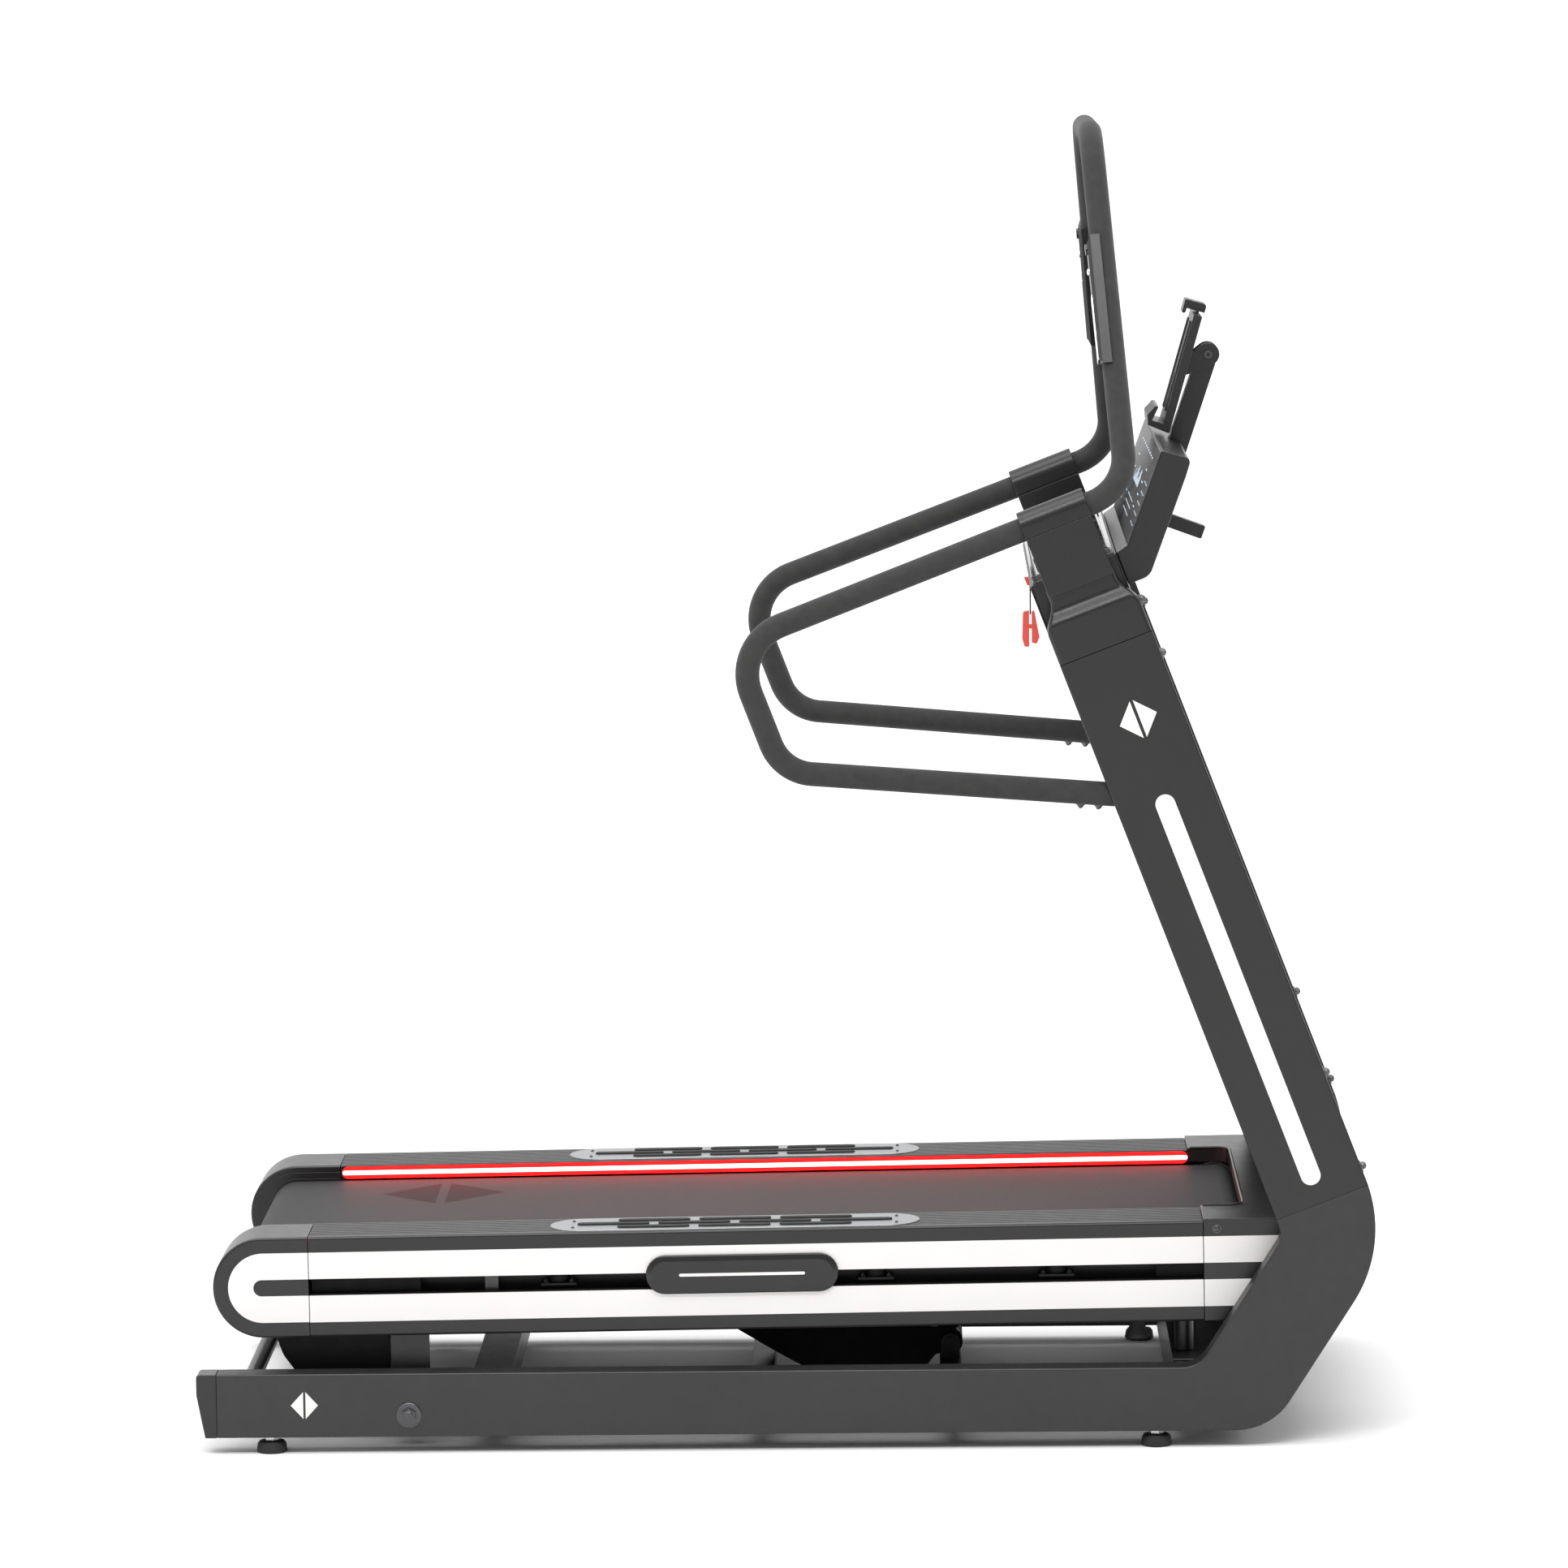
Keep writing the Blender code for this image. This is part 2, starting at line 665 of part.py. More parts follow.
def make_lift_beam(half):
    """The front cross beam, with the two lugs and the pin that the lift arm turns on."""
    low_x = LIFT_X - LIFT_BEAM_WIDTH / 2
    high_x = LIFT_X + LIFT_BEAM_WIDTH / 2
    low = (low_x, -half, LIFT_BEAM_LOW)
    beam = open_box("cross_beam_front", low, (high_x, half, LIFT_BEAM_HIGH), BEAM_WALL, PAINT)
    lug_half = LIFT_BEAM_WIDTH / 2 - 0.002
    root = LIFT_BEAM_HIGH - 0.001
    corners = [
        (LIFT_X - lug_half, root, 0),
        (LIFT_X + lug_half, root, 0),
        (LIFT_X + lug_half, LIFT_PIVOT_Z + lug_half, lug_half - 0.001),
        (LIFT_X - lug_half, LIFT_PIVOT_Z + lug_half, lug_half - 0.001),
    ]
    inner = LIFT_ARM_HALF_WIDTH + 0.002
    for _, side in SIDES:
        join(beam, prism([rounded(corners, 5)], *span(side, inner, inner + 0.008)))
    pin = [(LIFT_X, y, LIFT_PIVOT_Z) for y in (-inner - 0.012, inner + 0.012)]
    join(beam, rod(*pin, LIFT_PIN_RADIUS, 20))


def make_floor_pan(half):
    """A folded sheet across the front of the base, which the deck's bumpers rest on."""
    rear = FRONT - PAN_REAR_FROM_FRONT
    front = rear + PAN_LENGTH
    sheet = PAN_SHEET
    outline = [
        (rear, PAN_LOW),
        (rear + sheet, PAN_LOW),
        (rear + sheet, PAN_HIGH - sheet),
        (front - sheet, PAN_HIGH - sheet),
        (front - sheet, PAN_LOW),
        (front, PAN_LOW),
        (front, PAN_HIGH),
        (rear, PAN_HIGH),
    ]
    pan = finish("front_floor_pan", prism([outline], -half, half), PAINT)
    depth, width, height = MODULE_SIZE
    middle = (PAN_LOW + PAN_HIGH) / 2
    margin = 0.0006
    low = (front - 0.02, MODULE_Y - width / 2 - margin, middle - height / 2 - margin)
    high = (front + 0.02, MODULE_Y + width / 2 + margin, middle + height / 2 + margin)
    cut(pan, block(low, high))
    lift_mount(pan)


def lift_axis():
    """The lever's pin at rest and the height of the screw's line."""
    x = LIFT_X + LIFT_LEVER * math.cos(LIFT_LEVER_ANGLE)
    z = LIFT_PIVOT_Z + LIFT_LEVER * math.sin(LIFT_LEVER_ANGLE)
    return x, z


def lift_mount(pan):
    """The lug on the pan that the lift motor's tail is pinned to."""
    tail_x = FRONT - PAN_REAR_FROM_FRONT + 0.030
    z = lift_axis()[1]
    corners = [
        (tail_x - 0.018, PAN_HIGH - 0.001, 0),
        (tail_x + 0.018, PAN_HIGH - 0.001, 0),
        (tail_x + 0.012, z + 0.012, 0.011),
        (tail_x - 0.012, z + 0.012, 0.011),
    ]
    for _, side in SIDES:
        join(pan, prism([rounded(corners, 4)], *span(side, 0.0115, 0.0175)))


# Uprights and heads


def box_on_upright(along, across, y):
    """A box with its edges along the upright's directions."""
    corners = [
        up_corner(along[0], across[0]),
        up_corner(along[0], across[1]),
        up_corner(along[1], across[1]),
        up_corner(along[1], across[0]),
    ]
    return prism([rounded(corners)], *y)


def make_uprights():
    wall = TUBE_WALL
    for label, side in SIDES:
        y = span(side, FRAME_INNER, FRAME_OUTER)
        along = (GAP / 2, UPRIGHT_LENGTH - GAP / 2)
        obj = finish("upright_" + label, box_on_upright(along, (0, UPRIGHT_WIDTH), y), PAINT)
        inside = (wall, UPRIGHT_WIDTH - wall)
        cut(obj, box_on_upright((-0.02, UPRIGHT_LENGTH + 0.02), inside, (y[0] + wall, y[1] - wall)))


def make_cross_panel():
    """The folded panel that ties the uprights together low down, open towards the runner."""
    half = FRAME_INNER - GAP
    along = (PANEL_LOW_ALONG, PANEL_HIGH_ALONG)
    across = (PANEL_REAR_ACROSS, PANEL_FRONT_ACROSS)
    panel = finish("front_cross_panel", box_on_upright(along, across, (-half, half)), PAINT)
    sheet = PANEL_SHEET
    inside = (along[0] + sheet, along[1] - sheet)
    depth = (across[0] - 0.01, across[1] - sheet)
    cut(panel, box_on_upright(inside, depth, (-half + sheet, half - sheet)))


def head_section(work, along, inset, depth_inset, side):
    """One rounded-rectangle loop of the head, across the upright."""
    low, high = span(side, FRAME_INNER + depth_inset, FRAME_OUTER - depth_inset)
    across = (inset, UPRIGHT_WIDTH - inset)
    radius = 0.006
    corners = [(across[0], low), (across[1], low), (across[1], high), (across[0], high)]
    outline = rounded([(*corner, radius) for corner in corners], 3)
    return [work.verts.new(up_point(along, c, y)) for c, y in outline]


def loft(loops, work):
    """Skins a list of loops with equal counts and caps both ends."""
    for low, high in zip(loops, loops[1:]):
        count = len(low)
        for i in range(count):
            j = (i + 1) % count
            work.faces.new((low[i], low[j], high[j], high[i]))
    work.faces.new(list(reversed(loops[0])))
    work.faces.new(loops[-1])
    bmesh.ops.recalc_face_normals(work, faces=work.faces)


def make_heads():
    """The block on each upright: a shoulder that flares in to the bracket round the grip tube."""
    for label, side in SIDES:
        work = bmesh.new()
        shoulder = UPRIGHT_LENGTH + HEAD_SHOULDER
        loops = [head_section(work, UPRIGHT_LENGTH + GAP / 2, 0, 0, side)]
        loops.append(head_section(work, shoulder, 0.004, 0, side))
        for i in range(1, 7):
            t = i / 6
            ease = math.sin(t * math.pi / 2)
            inset = 0.004 + (BRACKET_INSET - 0.004) * ease
            loops.append(head_section(work, shoulder + HEAD_FLARE * 0.6 * t, inset, 0.006 * ease, side))
        loops.append(head_section(work, HEAD_TOP, BRACKET_INSET, 0.004, side))
        loft(loops, work)
        mesh = bpy.data.meshes.new("head")
        work.to_mesh(mesh)
        work.free()
        obj = finish("upright_head_" + label, mesh, PLASTIC)
        join(obj, bracket_mesh(side))
        grip = [up_point(GRIP_ALONG, across, side * TUBE_MIDDLE) for across in (-0.05, 0.25)]
        cut(obj, rod(*grip, GRIP_RADIUS + 2 * GAP, 24))


def bracket_mesh(side):
    """The round-topped block that holds the grip tube."""
    depth = TUBE_DEPTH / 2
    top = GRIP_ALONG + depth + 0.003
    centre_y = side * TUBE_MIDDLE
    low = HEAD_TOP - 0.002
    turns = [math.pi * i / 12 for i in range(13)]
    arc = [(depth * math.cos(t), top - depth + depth * math.sin(t)) for t in turns]
    outline = [(-depth, low), (depth, low)] + arc
    work = bmesh.new()
    loops = []
    inset = BRACKET_INSET + 0.0006
    for across in (inset, UPRIGHT_WIDTH - inset):
        loops.append([work.verts.new(up_point(a, across, centre_y + y)) for y, a in outline])
    loft(loops, work)
    mesh = bpy.data.meshes.new("bracket")
    work.to_mesh(mesh)
    work.free()
    return mesh


# Handlebars


def make_side_handles():
    for label, side in SIDES:
        at_tube = side * TUBE_MIDDLE
        splayed = side * (TUBE_MIDDLE + GRIP_SPLAY)
        middle = UPRIGHT_WIDTH / 2
        corners = [
            (up_point(GRIP_ALONG, middle - GAP, at_tube), 0),
            (up_point(GRIP_ALONG, 0, at_tube), 0.1),
            (up_point(GRIP_ALONG, -GRIP_REACH, splayed), GRIP_UPPER_BEND_RADIUS),
            (up_point(GRIP_LOWER_BEND_ALONG, -GRIP_REACH, splayed), GRIP_LOWER_BEND_RADIUS),
            (up_point(GRIP_LOWER_END_ALONG, 0.025, at_tube), 0),
        ]
        obj = finish("handle_" + label, pipe(smooth_path(corners, 6), GRIP_RADIUS, 4), FOAM)
        y = span(side, FRAME_INNER - 0.02, FRAME_OUTER + 0.02)
        along = (GRIP_LOWER_END_ALONG - 0.1, GRIP_LOWER_END_ALONG + 0.1)
        cut(obj, box_on_upright(along, (-GAP, 0.1), y))


def bar_bend_point(side):
    return up_point(GRIP_ALONG, BAR_BEND_ACROSS, side * TUBE_MIDDLE)


def bar_top_point(side):
    low = bar_bend_point(side)
    return Vector((low.x - (BAR_TOP_Z - low.z) * BAR_LEAN, side * BAR_TOP_HALF, BAR_TOP_Z))


def make_tall_bar():
    """The inverted U in front of the runner, in one tube from bracket to bracket."""
    middle = UPRIGHT_WIDTH / 2 + GAP
    corners = [
        (up_point(GRIP_ALONG, middle, -TUBE_MIDDLE), 0),
        (bar_bend_point(-1), BAR_BEND_RADIUS),
        (bar_top_point(-1), BAR_TOP_RADIUS),
        (bar_top_point(1), BAR_TOP_RADIUS),
        (bar_bend_point(1), BAR_BEND_RADIUS),
        (up_point(GRIP_ALONG, middle, TUBE_MIDDLE), 0),
    ]
    finish("tall_bar", pipe(smooth_path(corners, 6), GRIP_RADIUS, 4), FOAM)


def leg_frame(side):
    """The tall bar's leg: its foot, its direction, and the direction towards the runner."""
    low = bar_bend_point(side)
    direction = (bar_top_point(side) - low).normalized()
    back = Vector((-1, 0, 0))
    back = (back - direction * back.dot(direction)).normalized()
    return low, direction, back


def leg_point(side, z, back=0.0, aside=0.0):
    low, direction, towards = leg_frame(side)
    point = low + direction * ((z - low.z) / direction.z)
    return point + towards * back + direction.cross(towards) * aside


def leg_prism(side, low_z, high_z, outline, chamfer=0.0):
    """A bar with a constant (back, aside) section along the leg, with its rear edges cut back."""
    work = bmesh.new()
    deepest = max(b for b, _ in outline)
    loops = []
    for z, sign in ((low_z, -1), (high_z, 1)):
        loop = []
        for b, a in outline:
            shift = -sign * chamfer * (b == deepest)
            loop.append(work.verts.new(leg_point(side, z + shift, b, a)))
        loops.append(loop)
    loft(loops, work)
    mesh = bpy.data.meshes.new("leg_prism")
    work.to_mesh(mesh)
    work.free()
    return mesh


def make_pods():
    half = POD_HALF_WIDTH
    edge = 0.005
    outline = [(POD_FRONT, -half), (POD_BACK - edge, -half), (POD_BACK, -half + edge)]
    outline += [(POD_BACK, half - edge), (POD_BACK - edge, half), (POD_FRONT, half)]
    for label, side in SIDES:
        obj = finish("pod_" + label, leg_prism(side, POD_LOW_Z, POD_HIGH_Z, outline, POD_CHAMFER), PLASTIC)
        ends = [leg_point(side, z) for z in (POD_LOW_Z - 0.05, POD_HIGH_Z + 0.05)]
        cut(obj, rod(*ends, GRIP_RADIUS + 2 * GAP, 24))
        for name, (z, tall, wide) in BUTTONS.items():
            margin = BUTTON_CLEARANCE
            cut(obj, button_mesh(side, z, tall + margin, wide + margin, -BUTTON_POCKET, 0.01))
            make_button(name + "_" + label, side, z, tall, wide)


def button_mesh(side, z, tall, wide, low, high):
    """A rounded button body between two depths, measured out from the pod's rear face."""
    work = bmesh.new()
    loops = []
    for depth in (low, high):
        loop = []
        for i in range(20):
            turn = 2 * math.pi * i / 20
            centre = leg_point(side, z, POD_BACK + depth, wide * math.sin(turn))
            loop.append(work.verts.new(centre + leg_frame(side)[1] * tall * math.cos(turn)))
        loops.append(loop)
    loft(loops, work)
    mesh = bpy.data.meshes.new("button")
    work.to_mesh(mesh)
    work.free()
    return mesh


def make_button(name, side, z, tall, wide):
    look = CHROME if name.startswith("ball") else GLOSS
    obj = finish(name, button_mesh(side, z, tall, wide, -BUTTON_SEAT, BUTTON_PROUD), look)
    hang(obj, pivot(name + "_slide", leg_point(side, z, POD_BACK)))


# Console


def console_point(along, across, radius=0.0):
    return up_corner(along, across, radius)


GLASS_LOW = (0.9896, 0.1531)
GLASS_HIGH = (1.0999, 0.2486)


def make_console():
    beam_half = FRAME_INNER - GAP
    outline = rounded([
        console_point(BEAM_LOW_ALONG, 0, 0.006),
        console_point(BEAM_LOW_ALONG, BEAM_FRONT_ACROSS, 0.006),
        console_point(BEAM_HIGH_ALONG, BEAM_FRONT_ACROSS, 0),
        console_point(BEAM_HIGH_ALONG, 0, 0.006),
    ], 3)
    beam = finish("console_beam", prism([outline], -beam_half, beam_half), PAINT)
    wall = CONSOLE_WALL
    inside = (wall, BEAM_FRONT_ACROSS - wall)
    along = (BEAM_LOW_ALONG + wall, BEAM_HIGH_ALONG - wall)
    cut(beam, box_on_upright(along, inside, (-beam_half - 0.01, beam_half + 0.01)))
    make_console_housing()
    make_hook()


def make_console_housing():
    """The panel that leans towards the front, its knuckle, and the glass set in its face."""
    start = BEAM_FRONT_ACROSS + GAP
    outline = rounded([
        console_point(0.9360, start, 0.002),
        console_point(0.9850, start, 0.002),
        console_point(*GLASS_LOW, 0.002),
        console_point(*GLASS_HIGH, 0.004),
        console_point(1.0727, 0.2846, 0.008),
        console_point(1.0516, 0.2681, 0.02),
        console_point(0.9575, 0.1862, 0.004),
        console_point(0.9360, 0.1675, 0.022),
    ], 4)
    half = CONSOLE_HALF_WIDTH
    housing = finish("console_housing", prism([outline], -half, half), PLASTIC)
    face = (Vector(GLASS_HIGH) - Vector(GLASS_LOW)).normalized()
    inward = Vector((-face.y, face.x))
    low = Vector(GLASS_LOW) + face * GLASS_MARGIN
    high = Vector(GLASS_HIGH) - face * GLASS_MARGIN

    def slab(start_depth, end_depth, trim):
        corners = [low + face * trim, high - face * trim, high - face * trim, low + face * trim]
        depths = (start_depth, start_depth, end_depth, end_depth)
        return rounded([console_point(*(corner + inward * depth)) for corner, depth in zip(corners, depths)])

    glass_half = half - GLASS_MARGIN
    recess = GLASS_THICKNESS + 2 * GAP
    cut(housing, prism([slab(-0.01, recess, 0)], -glass_half, glass_half))
    cut(housing, prism([slab(0.002, 0.030, 0.004)], -glass_half + 0.005, glass_half - 0.005))
    glass = prism([slab(GAP, GLASS_THICKNESS, GAP)], -glass_half + GAP, glass_half - GAP)
    finish("console_glass", glass, GLOSS)


def make_hook():
    """The bar behind the console that bands and bags hang from."""
    face_low = Vector((0.9575, 0.1862))
    face_high = Vector((1.0516, 0.2681))
    face = (face_high - face_low).normalized()
    out = Vector((-face.y, face.x))
    root = face_low + face * 0.024 + out * GAP
    corners = [
        (root, 0),
        (root + out * HOOK_LENGTH, 0.002),
        (root + out * HOOK_LENGTH + face * HOOK_HEIGHT, 0.002),
        (root + face * HOOK_HEIGHT, 0),
    ]
    outline = rounded([console_point(*corner, radius) for corner, radius in corners], 2)
    finish("accessory_hook", prism([outline], -HOOK_WIDTH / 2, HOOK_WIDTH / 2), PAINT)


# Tablet holder


ARM_AXIS = (FRONT - ARM_PIVOT[0], ARM_PIVOT[1])
HOLDER_LEAN = math.radians(16.1)
HOLDER_LOW = (FRONT - 0.2809, 1.4548)


def make_tablet_arm():
    """The fixed arm on top of the console, with the barrel that the holder tilts on."""
    x, z = ARM_AXIS
    root = console_point(1.0739, 0.2782)
    lean = (root[0] - x) / (root[1] - z)
    low_z = root[1] - 0.006
    radius = ARM_BARREL_RADIUS
    path = [(x, z), (x + (low_z - z) * lean, low_z)]
    outline = around_two(path[1], radius * 1.02, path[0], radius, 10)
    arm = finish("tablet_arm", prism([outline], -ARM_HALF_WIDTH, ARM_HALF_WIDTH), PLASTIC)
    ends = [(x, y, z) for y in (-ARM_HALF_WIDTH - 0.007, ARM_HALF_WIDTH + 0.007)]
    join(arm, rod(*ends, HOLDER_PIN_RADIUS, 16))
    cut(bpy.data.objects["console_housing"], arm_socket(path, radius))


def arm_socket(path, radius):
    """The pocket in the console's top that the arm's foot stands in."""
    outline = around_two(path[1], radius * 1.02 + GAP, path[0], radius + GAP, 10)
    half = ARM_HALF_WIDTH + GAP
    return prism([outline], -half, half)


def holder_point(up, back, radius=0.0):
    """A point of the holder, from distances up its plate and out towards the runner."""
    sine = math.sin(HOLDER_LEAN)
    cosine = math.cos(HOLDER_LEAN)
    return (HOLDER_LOW[0] + up * sine - back * cosine, HOLDER_LOW[1] + up * cosine + back * sine, radius)


def make_tablet_holder():
    tilt = pivot("tablet_tilt", (ARM_AXIS[0], 0, ARM_AXIS[1]))
    plate = HOLDER_PLATE
    profile = rounded([
        holder_point(0, 0, 0.002),
        holder_point(0.180, 0, 0.002),
        holder_point(0.180, plate, 0),
        holder_point(0.012, plate, 0),
        holder_point(0.012, 0.030, 0),
        holder_point(0.034, 0.026, 0),
        holder_point(0.034, 0.031, 0),
        holder_point(0.018, 0.039, 0.002),
        holder_point(0.004, 0.034, 0.002),
    ], 2)
    half = HOLDER_HALF_WIDTH
    holder = finish("tablet_holder", prism([profile], -half, half), PLASTIC)
    slot_half = GRIP_HALF_WIDTH + GAP
    cut(holder, block_on_holder(0.090, 0.20, 0.004, 0.0100, slot_half))
    ear = [holder_point(0.085, 0.001), holder_point(0.118, 0.001)]
    radius = ARM_BARREL_RADIUS + 0.002
    circle_points = circle(ARM_AXIS, radius, 20)
    for _, side in SIDES:
        y = span(side, ARM_HALF_WIDTH + GAP, ARM_HALF_WIDTH + GAP + HOLDER_EAR)
        join(holder, prism([ear_outline(ear, circle_points)], *y))
    ends = [(ARM_AXIS[0], y, ARM_AXIS[1]) for y in (-0.05, 0.05)]
    cut(holder, rod(*ends, HOLDER_PIN_RADIUS + 0.0003, 16))
    hang(holder, tilt)
    make_tablet_grip(tilt)


def ear_outline(root, ring):
    """The tangent hull of an ear: two points on the plate and a ring round the hinge pin."""
    points = sorted([(p[0], p[1]) for p in root] + ring)

    def chain(ordered):
        hull = []
        for p in ordered:
            while len(hull) > 1 and turn_of(hull[-2], hull[-1], p) <= 0:
                hull.pop()
            hull.append(p)
        return hull[:-1]

    return chain(points) + chain(reversed(points))


def turn_of(a, b, c):
    return (b[0] - a[0]) * (c[1] - a[1]) - (b[1] - a[1]) * (c[0] - a[0])


def block_on_holder(low, high, back_low, back_high, half):
    corners = [(low, back_low), (high, back_low), (high, back_high), (low, back_high)]
    return prism([rounded([holder_point(*corner) for corner in corners])], -half, half)


def make_tablet_grip(tilt):
    """The sliding top jaw, which a tablet of any height is held by."""
    outline = rounded([
        holder_point(0.100, 0.0045, 0),
        holder_point(0.184, 0.0045, 0),
        holder_point(0.184, -0.004, 0.001),
        holder_point(0.197, -0.004, 0.004),
        holder_point(0.197, 0.029, 0.002),
        holder_point(0.176, 0.029, 0.001),
        holder_point(0.176, 0.0245, 0.001),
        holder_point(0.184, 0.0245, 0.001),
        holder_point(0.184, 0.0095, 0),
        holder_point(0.100, 0.0095, 0),
    ], 2)
    half = GRIP_HALF_WIDTH
    grip = finish("tablet_grip", prism([outline], -half, half), PLASTIC)
    top = holder_point(0.190, 0.007)
    slide = pivot("tablet_grip_slide", (top[0], 0, top[1]), tilt)
    hang(grip, slide)


# Safety tether


def key_face_x():
    """Where the console beam's rear face stands at the key's height."""
    along = (KEY_Z - UPRIGHT_FOOT_Z) / math.cos(LEAN)
    return up_point(along, 0).x


def make_safety_tether():
    face = key_face_x()
    tilt = math.tan(LEAN)
    slide = pivot("safety_key_slide", (face, 0, KEY_Z))
    half = 0.0062
    near = [(face - GAP - 0.0004 - dz * tilt, KEY_Z + dz) for dz in (-half, half)]
    far = [(u - KEY_PROUD, v) for u, v in reversed(near)]
    outline = near + far
    key = finish("safety_key", prism([outline], -KEY_HALF_WIDTH, KEY_HALF_WIDTH), RED)
    hang(key, slide)
    exit_x = near[0][0] - KEY_PROUD / 2
    exit_z = KEY_Z - half - GAP
    cord_points = [Vector((exit_x, 0, exit_z - i * 0.0055)) for i in range(9)]
    cord = finish("safety_cord", pipe(cord_points, CORD_RADIUS, 2), RUBBER)
    hang(cord, slide)
    make_clip(exit_x, slide)


def make_clip(x, slide):
    """The garment clip: two jaws that spring about one knuckle. The cord's end is held between them."""
    channel = CORD_RADIUS + 0.0008
    top = CLIP_TOP_Z
    bottom = top - CLIP_LENGTH
    pin_z = top - 0.024
    rear = rounded([
        (x - channel, top, 0),
        (x - 0.011, top - 0.002, 0.002),
        (x - 0.0125, bottom + 0.012, 0.01),
        (x - 0.009, bottom, 0.002),
        (x - channel, bottom, 0),
    ], 3)
    front = rounded([
        (x + channel, top - 0.002, 0),
        (x + channel, bottom + 0.006, 0),
        (x + 0.009, bottom + 0.004, 0.002),
        (x + 0.0135, bottom + 0.014, 0.004),
        (x + 0.006, top, 0.001),
    ], 3)
    half = CLIP_HALF_WIDTH
    clip = finish("safety_clip", prism([rear], -half, half), RED)
    join(clip, prism([front], -half + 0.001, half - 0.001))
    knuckle = around_two((x - channel - 0.002, pin_z), 0.0026, (x + 0.004, pin_z), 0.0028, 6)
    join(clip, prism([knuckle], -half + 0.0005, half - 0.0005))
    hang(clip, slide)


# Deck


def deck_pivot():
    empty = pivot("deck_incline", (PIVOT_X, 0, PIVOT_Z))
    empty.rotation_euler = (0, -DECK_RAKE, 0)
    return empty


def rail_section(side):
    """The rail's section in Y-Z: outer web, ribbed top, inner lip and slot return."""
    wall = DECK_SHELL
    low = DECK_MIDDLE_Z + DECK_SLOT_HALF
    under = DECK_TOP - wall
    points = [(RAIL_INNER, DECK_TOP - RAIL_LIP_DROP), (RAIL_INNER, DECK_TOP)]
    y = RAIL_INNER + 0.008
    while y < DECK_HALF - 0.014:
        points += [(y, DECK_TOP), (y, DECK_TOP - RAIL_RIB_DEPTH)]
        points += [(y + 0.003, DECK_TOP - RAIL_RIB_DEPTH), (y + 0.003, DECK_TOP)]
        y += RAIL_RIB_PITCH
    points += [(DECK_HALF - 0.003, DECK_TOP), (DECK_HALF, DECK_TOP - 0.003), (DECK_HALF, low)]
    points += [(DECK_HALF - SKIRT_RETURN, low), (DECK_HALF - SKIRT_RETURN, low + wall)]
    points += [(DECK_HALF - wall, low + wall), (DECK_HALF - wall, under)]
    points += [(RAIL_INNER + wall, under), (RAIL_INNER + wall, DECK_TOP - RAIL_LIP_DROP)]
    return [(side * y, z) for y, z in points]


def skirt_section(side):
    wall = DECK_SHELL
    high = DECK_MIDDLE_Z - DECK_SLOT_HALF
    low = DECK_BOTTOM
    points = [
        (DECK_HALF, low + 0.003),
        (DECK_HALF, high),
        (DECK_HALF - SKIRT_RETURN, high),
        (DECK_HALF - SKIRT_RETURN, high - wall),
        (DECK_HALF - wall, high - wall),
        (DECK_HALF - wall, low + wall),
        (DECK_HALF - 2 * SKIRT_RETURN, low + wall),
        (DECK_HALF - 2 * SKIRT_RETURN, low),
        (DECK_HALF - 0.003, low),
    ]
    return [(side * y, z) for y, z in points]


def make_deck_sides(deck):
    low = REAR_SEAM + GAP / 2
    high = FRONT_SEAM - GAP / 2
    for label, side in SIDES:
        rail = finish("deck_rail_" + label, prism([rail_section(side)], low, high, "YZ"), PAINT)
        hang(rail, deck)
        skirt = finish("deck_skirt_" + label, prism([skirt_section(side)], low, high, "YZ"), PAINT)
        x = (PIVOT_X - LEG_WIDTH / 2 - 0.002, PIVOT_X + LEG_WIDTH / 2 + 0.002)
        inner, outer = span(side, DECK_HALF - 2 * SKIRT_RETURN - 0.01, LEG_OUTER + 0.002)
        cut(skirt, block((x[0], inner, DECK_BOTTOM - 0.01), (x[1], outer, DECK_BOTTOM + 0.01)))
        hang(skirt, deck)


def rear_cap_outline(inset, overrun):
    """A stadium end: straight from the seam, then half round."""
    radius = DECK_SIDE_HALF_HEIGHT - inset
    centre = REAR_SEAM - 0.067
    seam = REAR_SEAM - GAP / 2 + overrun
    steps = 16
    turns = [math.pi / 2 + math.pi * i / steps for i in range(steps + 1)]
    arc = [(centre + radius * math.cos(t), DECK_MIDDLE_Z + radius * math.sin(t)) for t in turns]
    return [(seam, DECK_MIDDLE_Z + radius)] + arc + [(seam, DECK_MIDDLE_Z - radius)]


def make_rear_caps(deck):
    wall = DECK_SHELL
    for label, side in SIDES:
        y = span(side, RAIL_INNER, DECK_HALF)
        cap = finish("rear_cap_" + label, prism([rear_cap_outline(0, 0)], *y), PLASTIC)
        cut(cap, prism([rear_cap_outline(wall, 0.02)], y[0] + wall, y[1] - wall))
        ends = [(REAR_ROLLER_X, side * d, ROLLER_Z) for d in (RAIL_INNER - 0.01, RAIL_INNER + 0.01)]
        cut(cap, rod(*ends, ROLLER_SHAFT_RADIUS + 0.003))
        hang(cap, deck)


def hood_outline(inset, rear, low):
    top = DECK_TOP + HOOD_RISE - inset
    front = FRONT - HOOD_FRONT_FROM_FRONT - inset
    radius = HOOD_NOSE_RADIUS - inset
    corners = [(rear, low, 0), (front, low, 0 if inset else radius), (front, top, radius), (rear, top, 0)]
    return rounded(corners, 8)


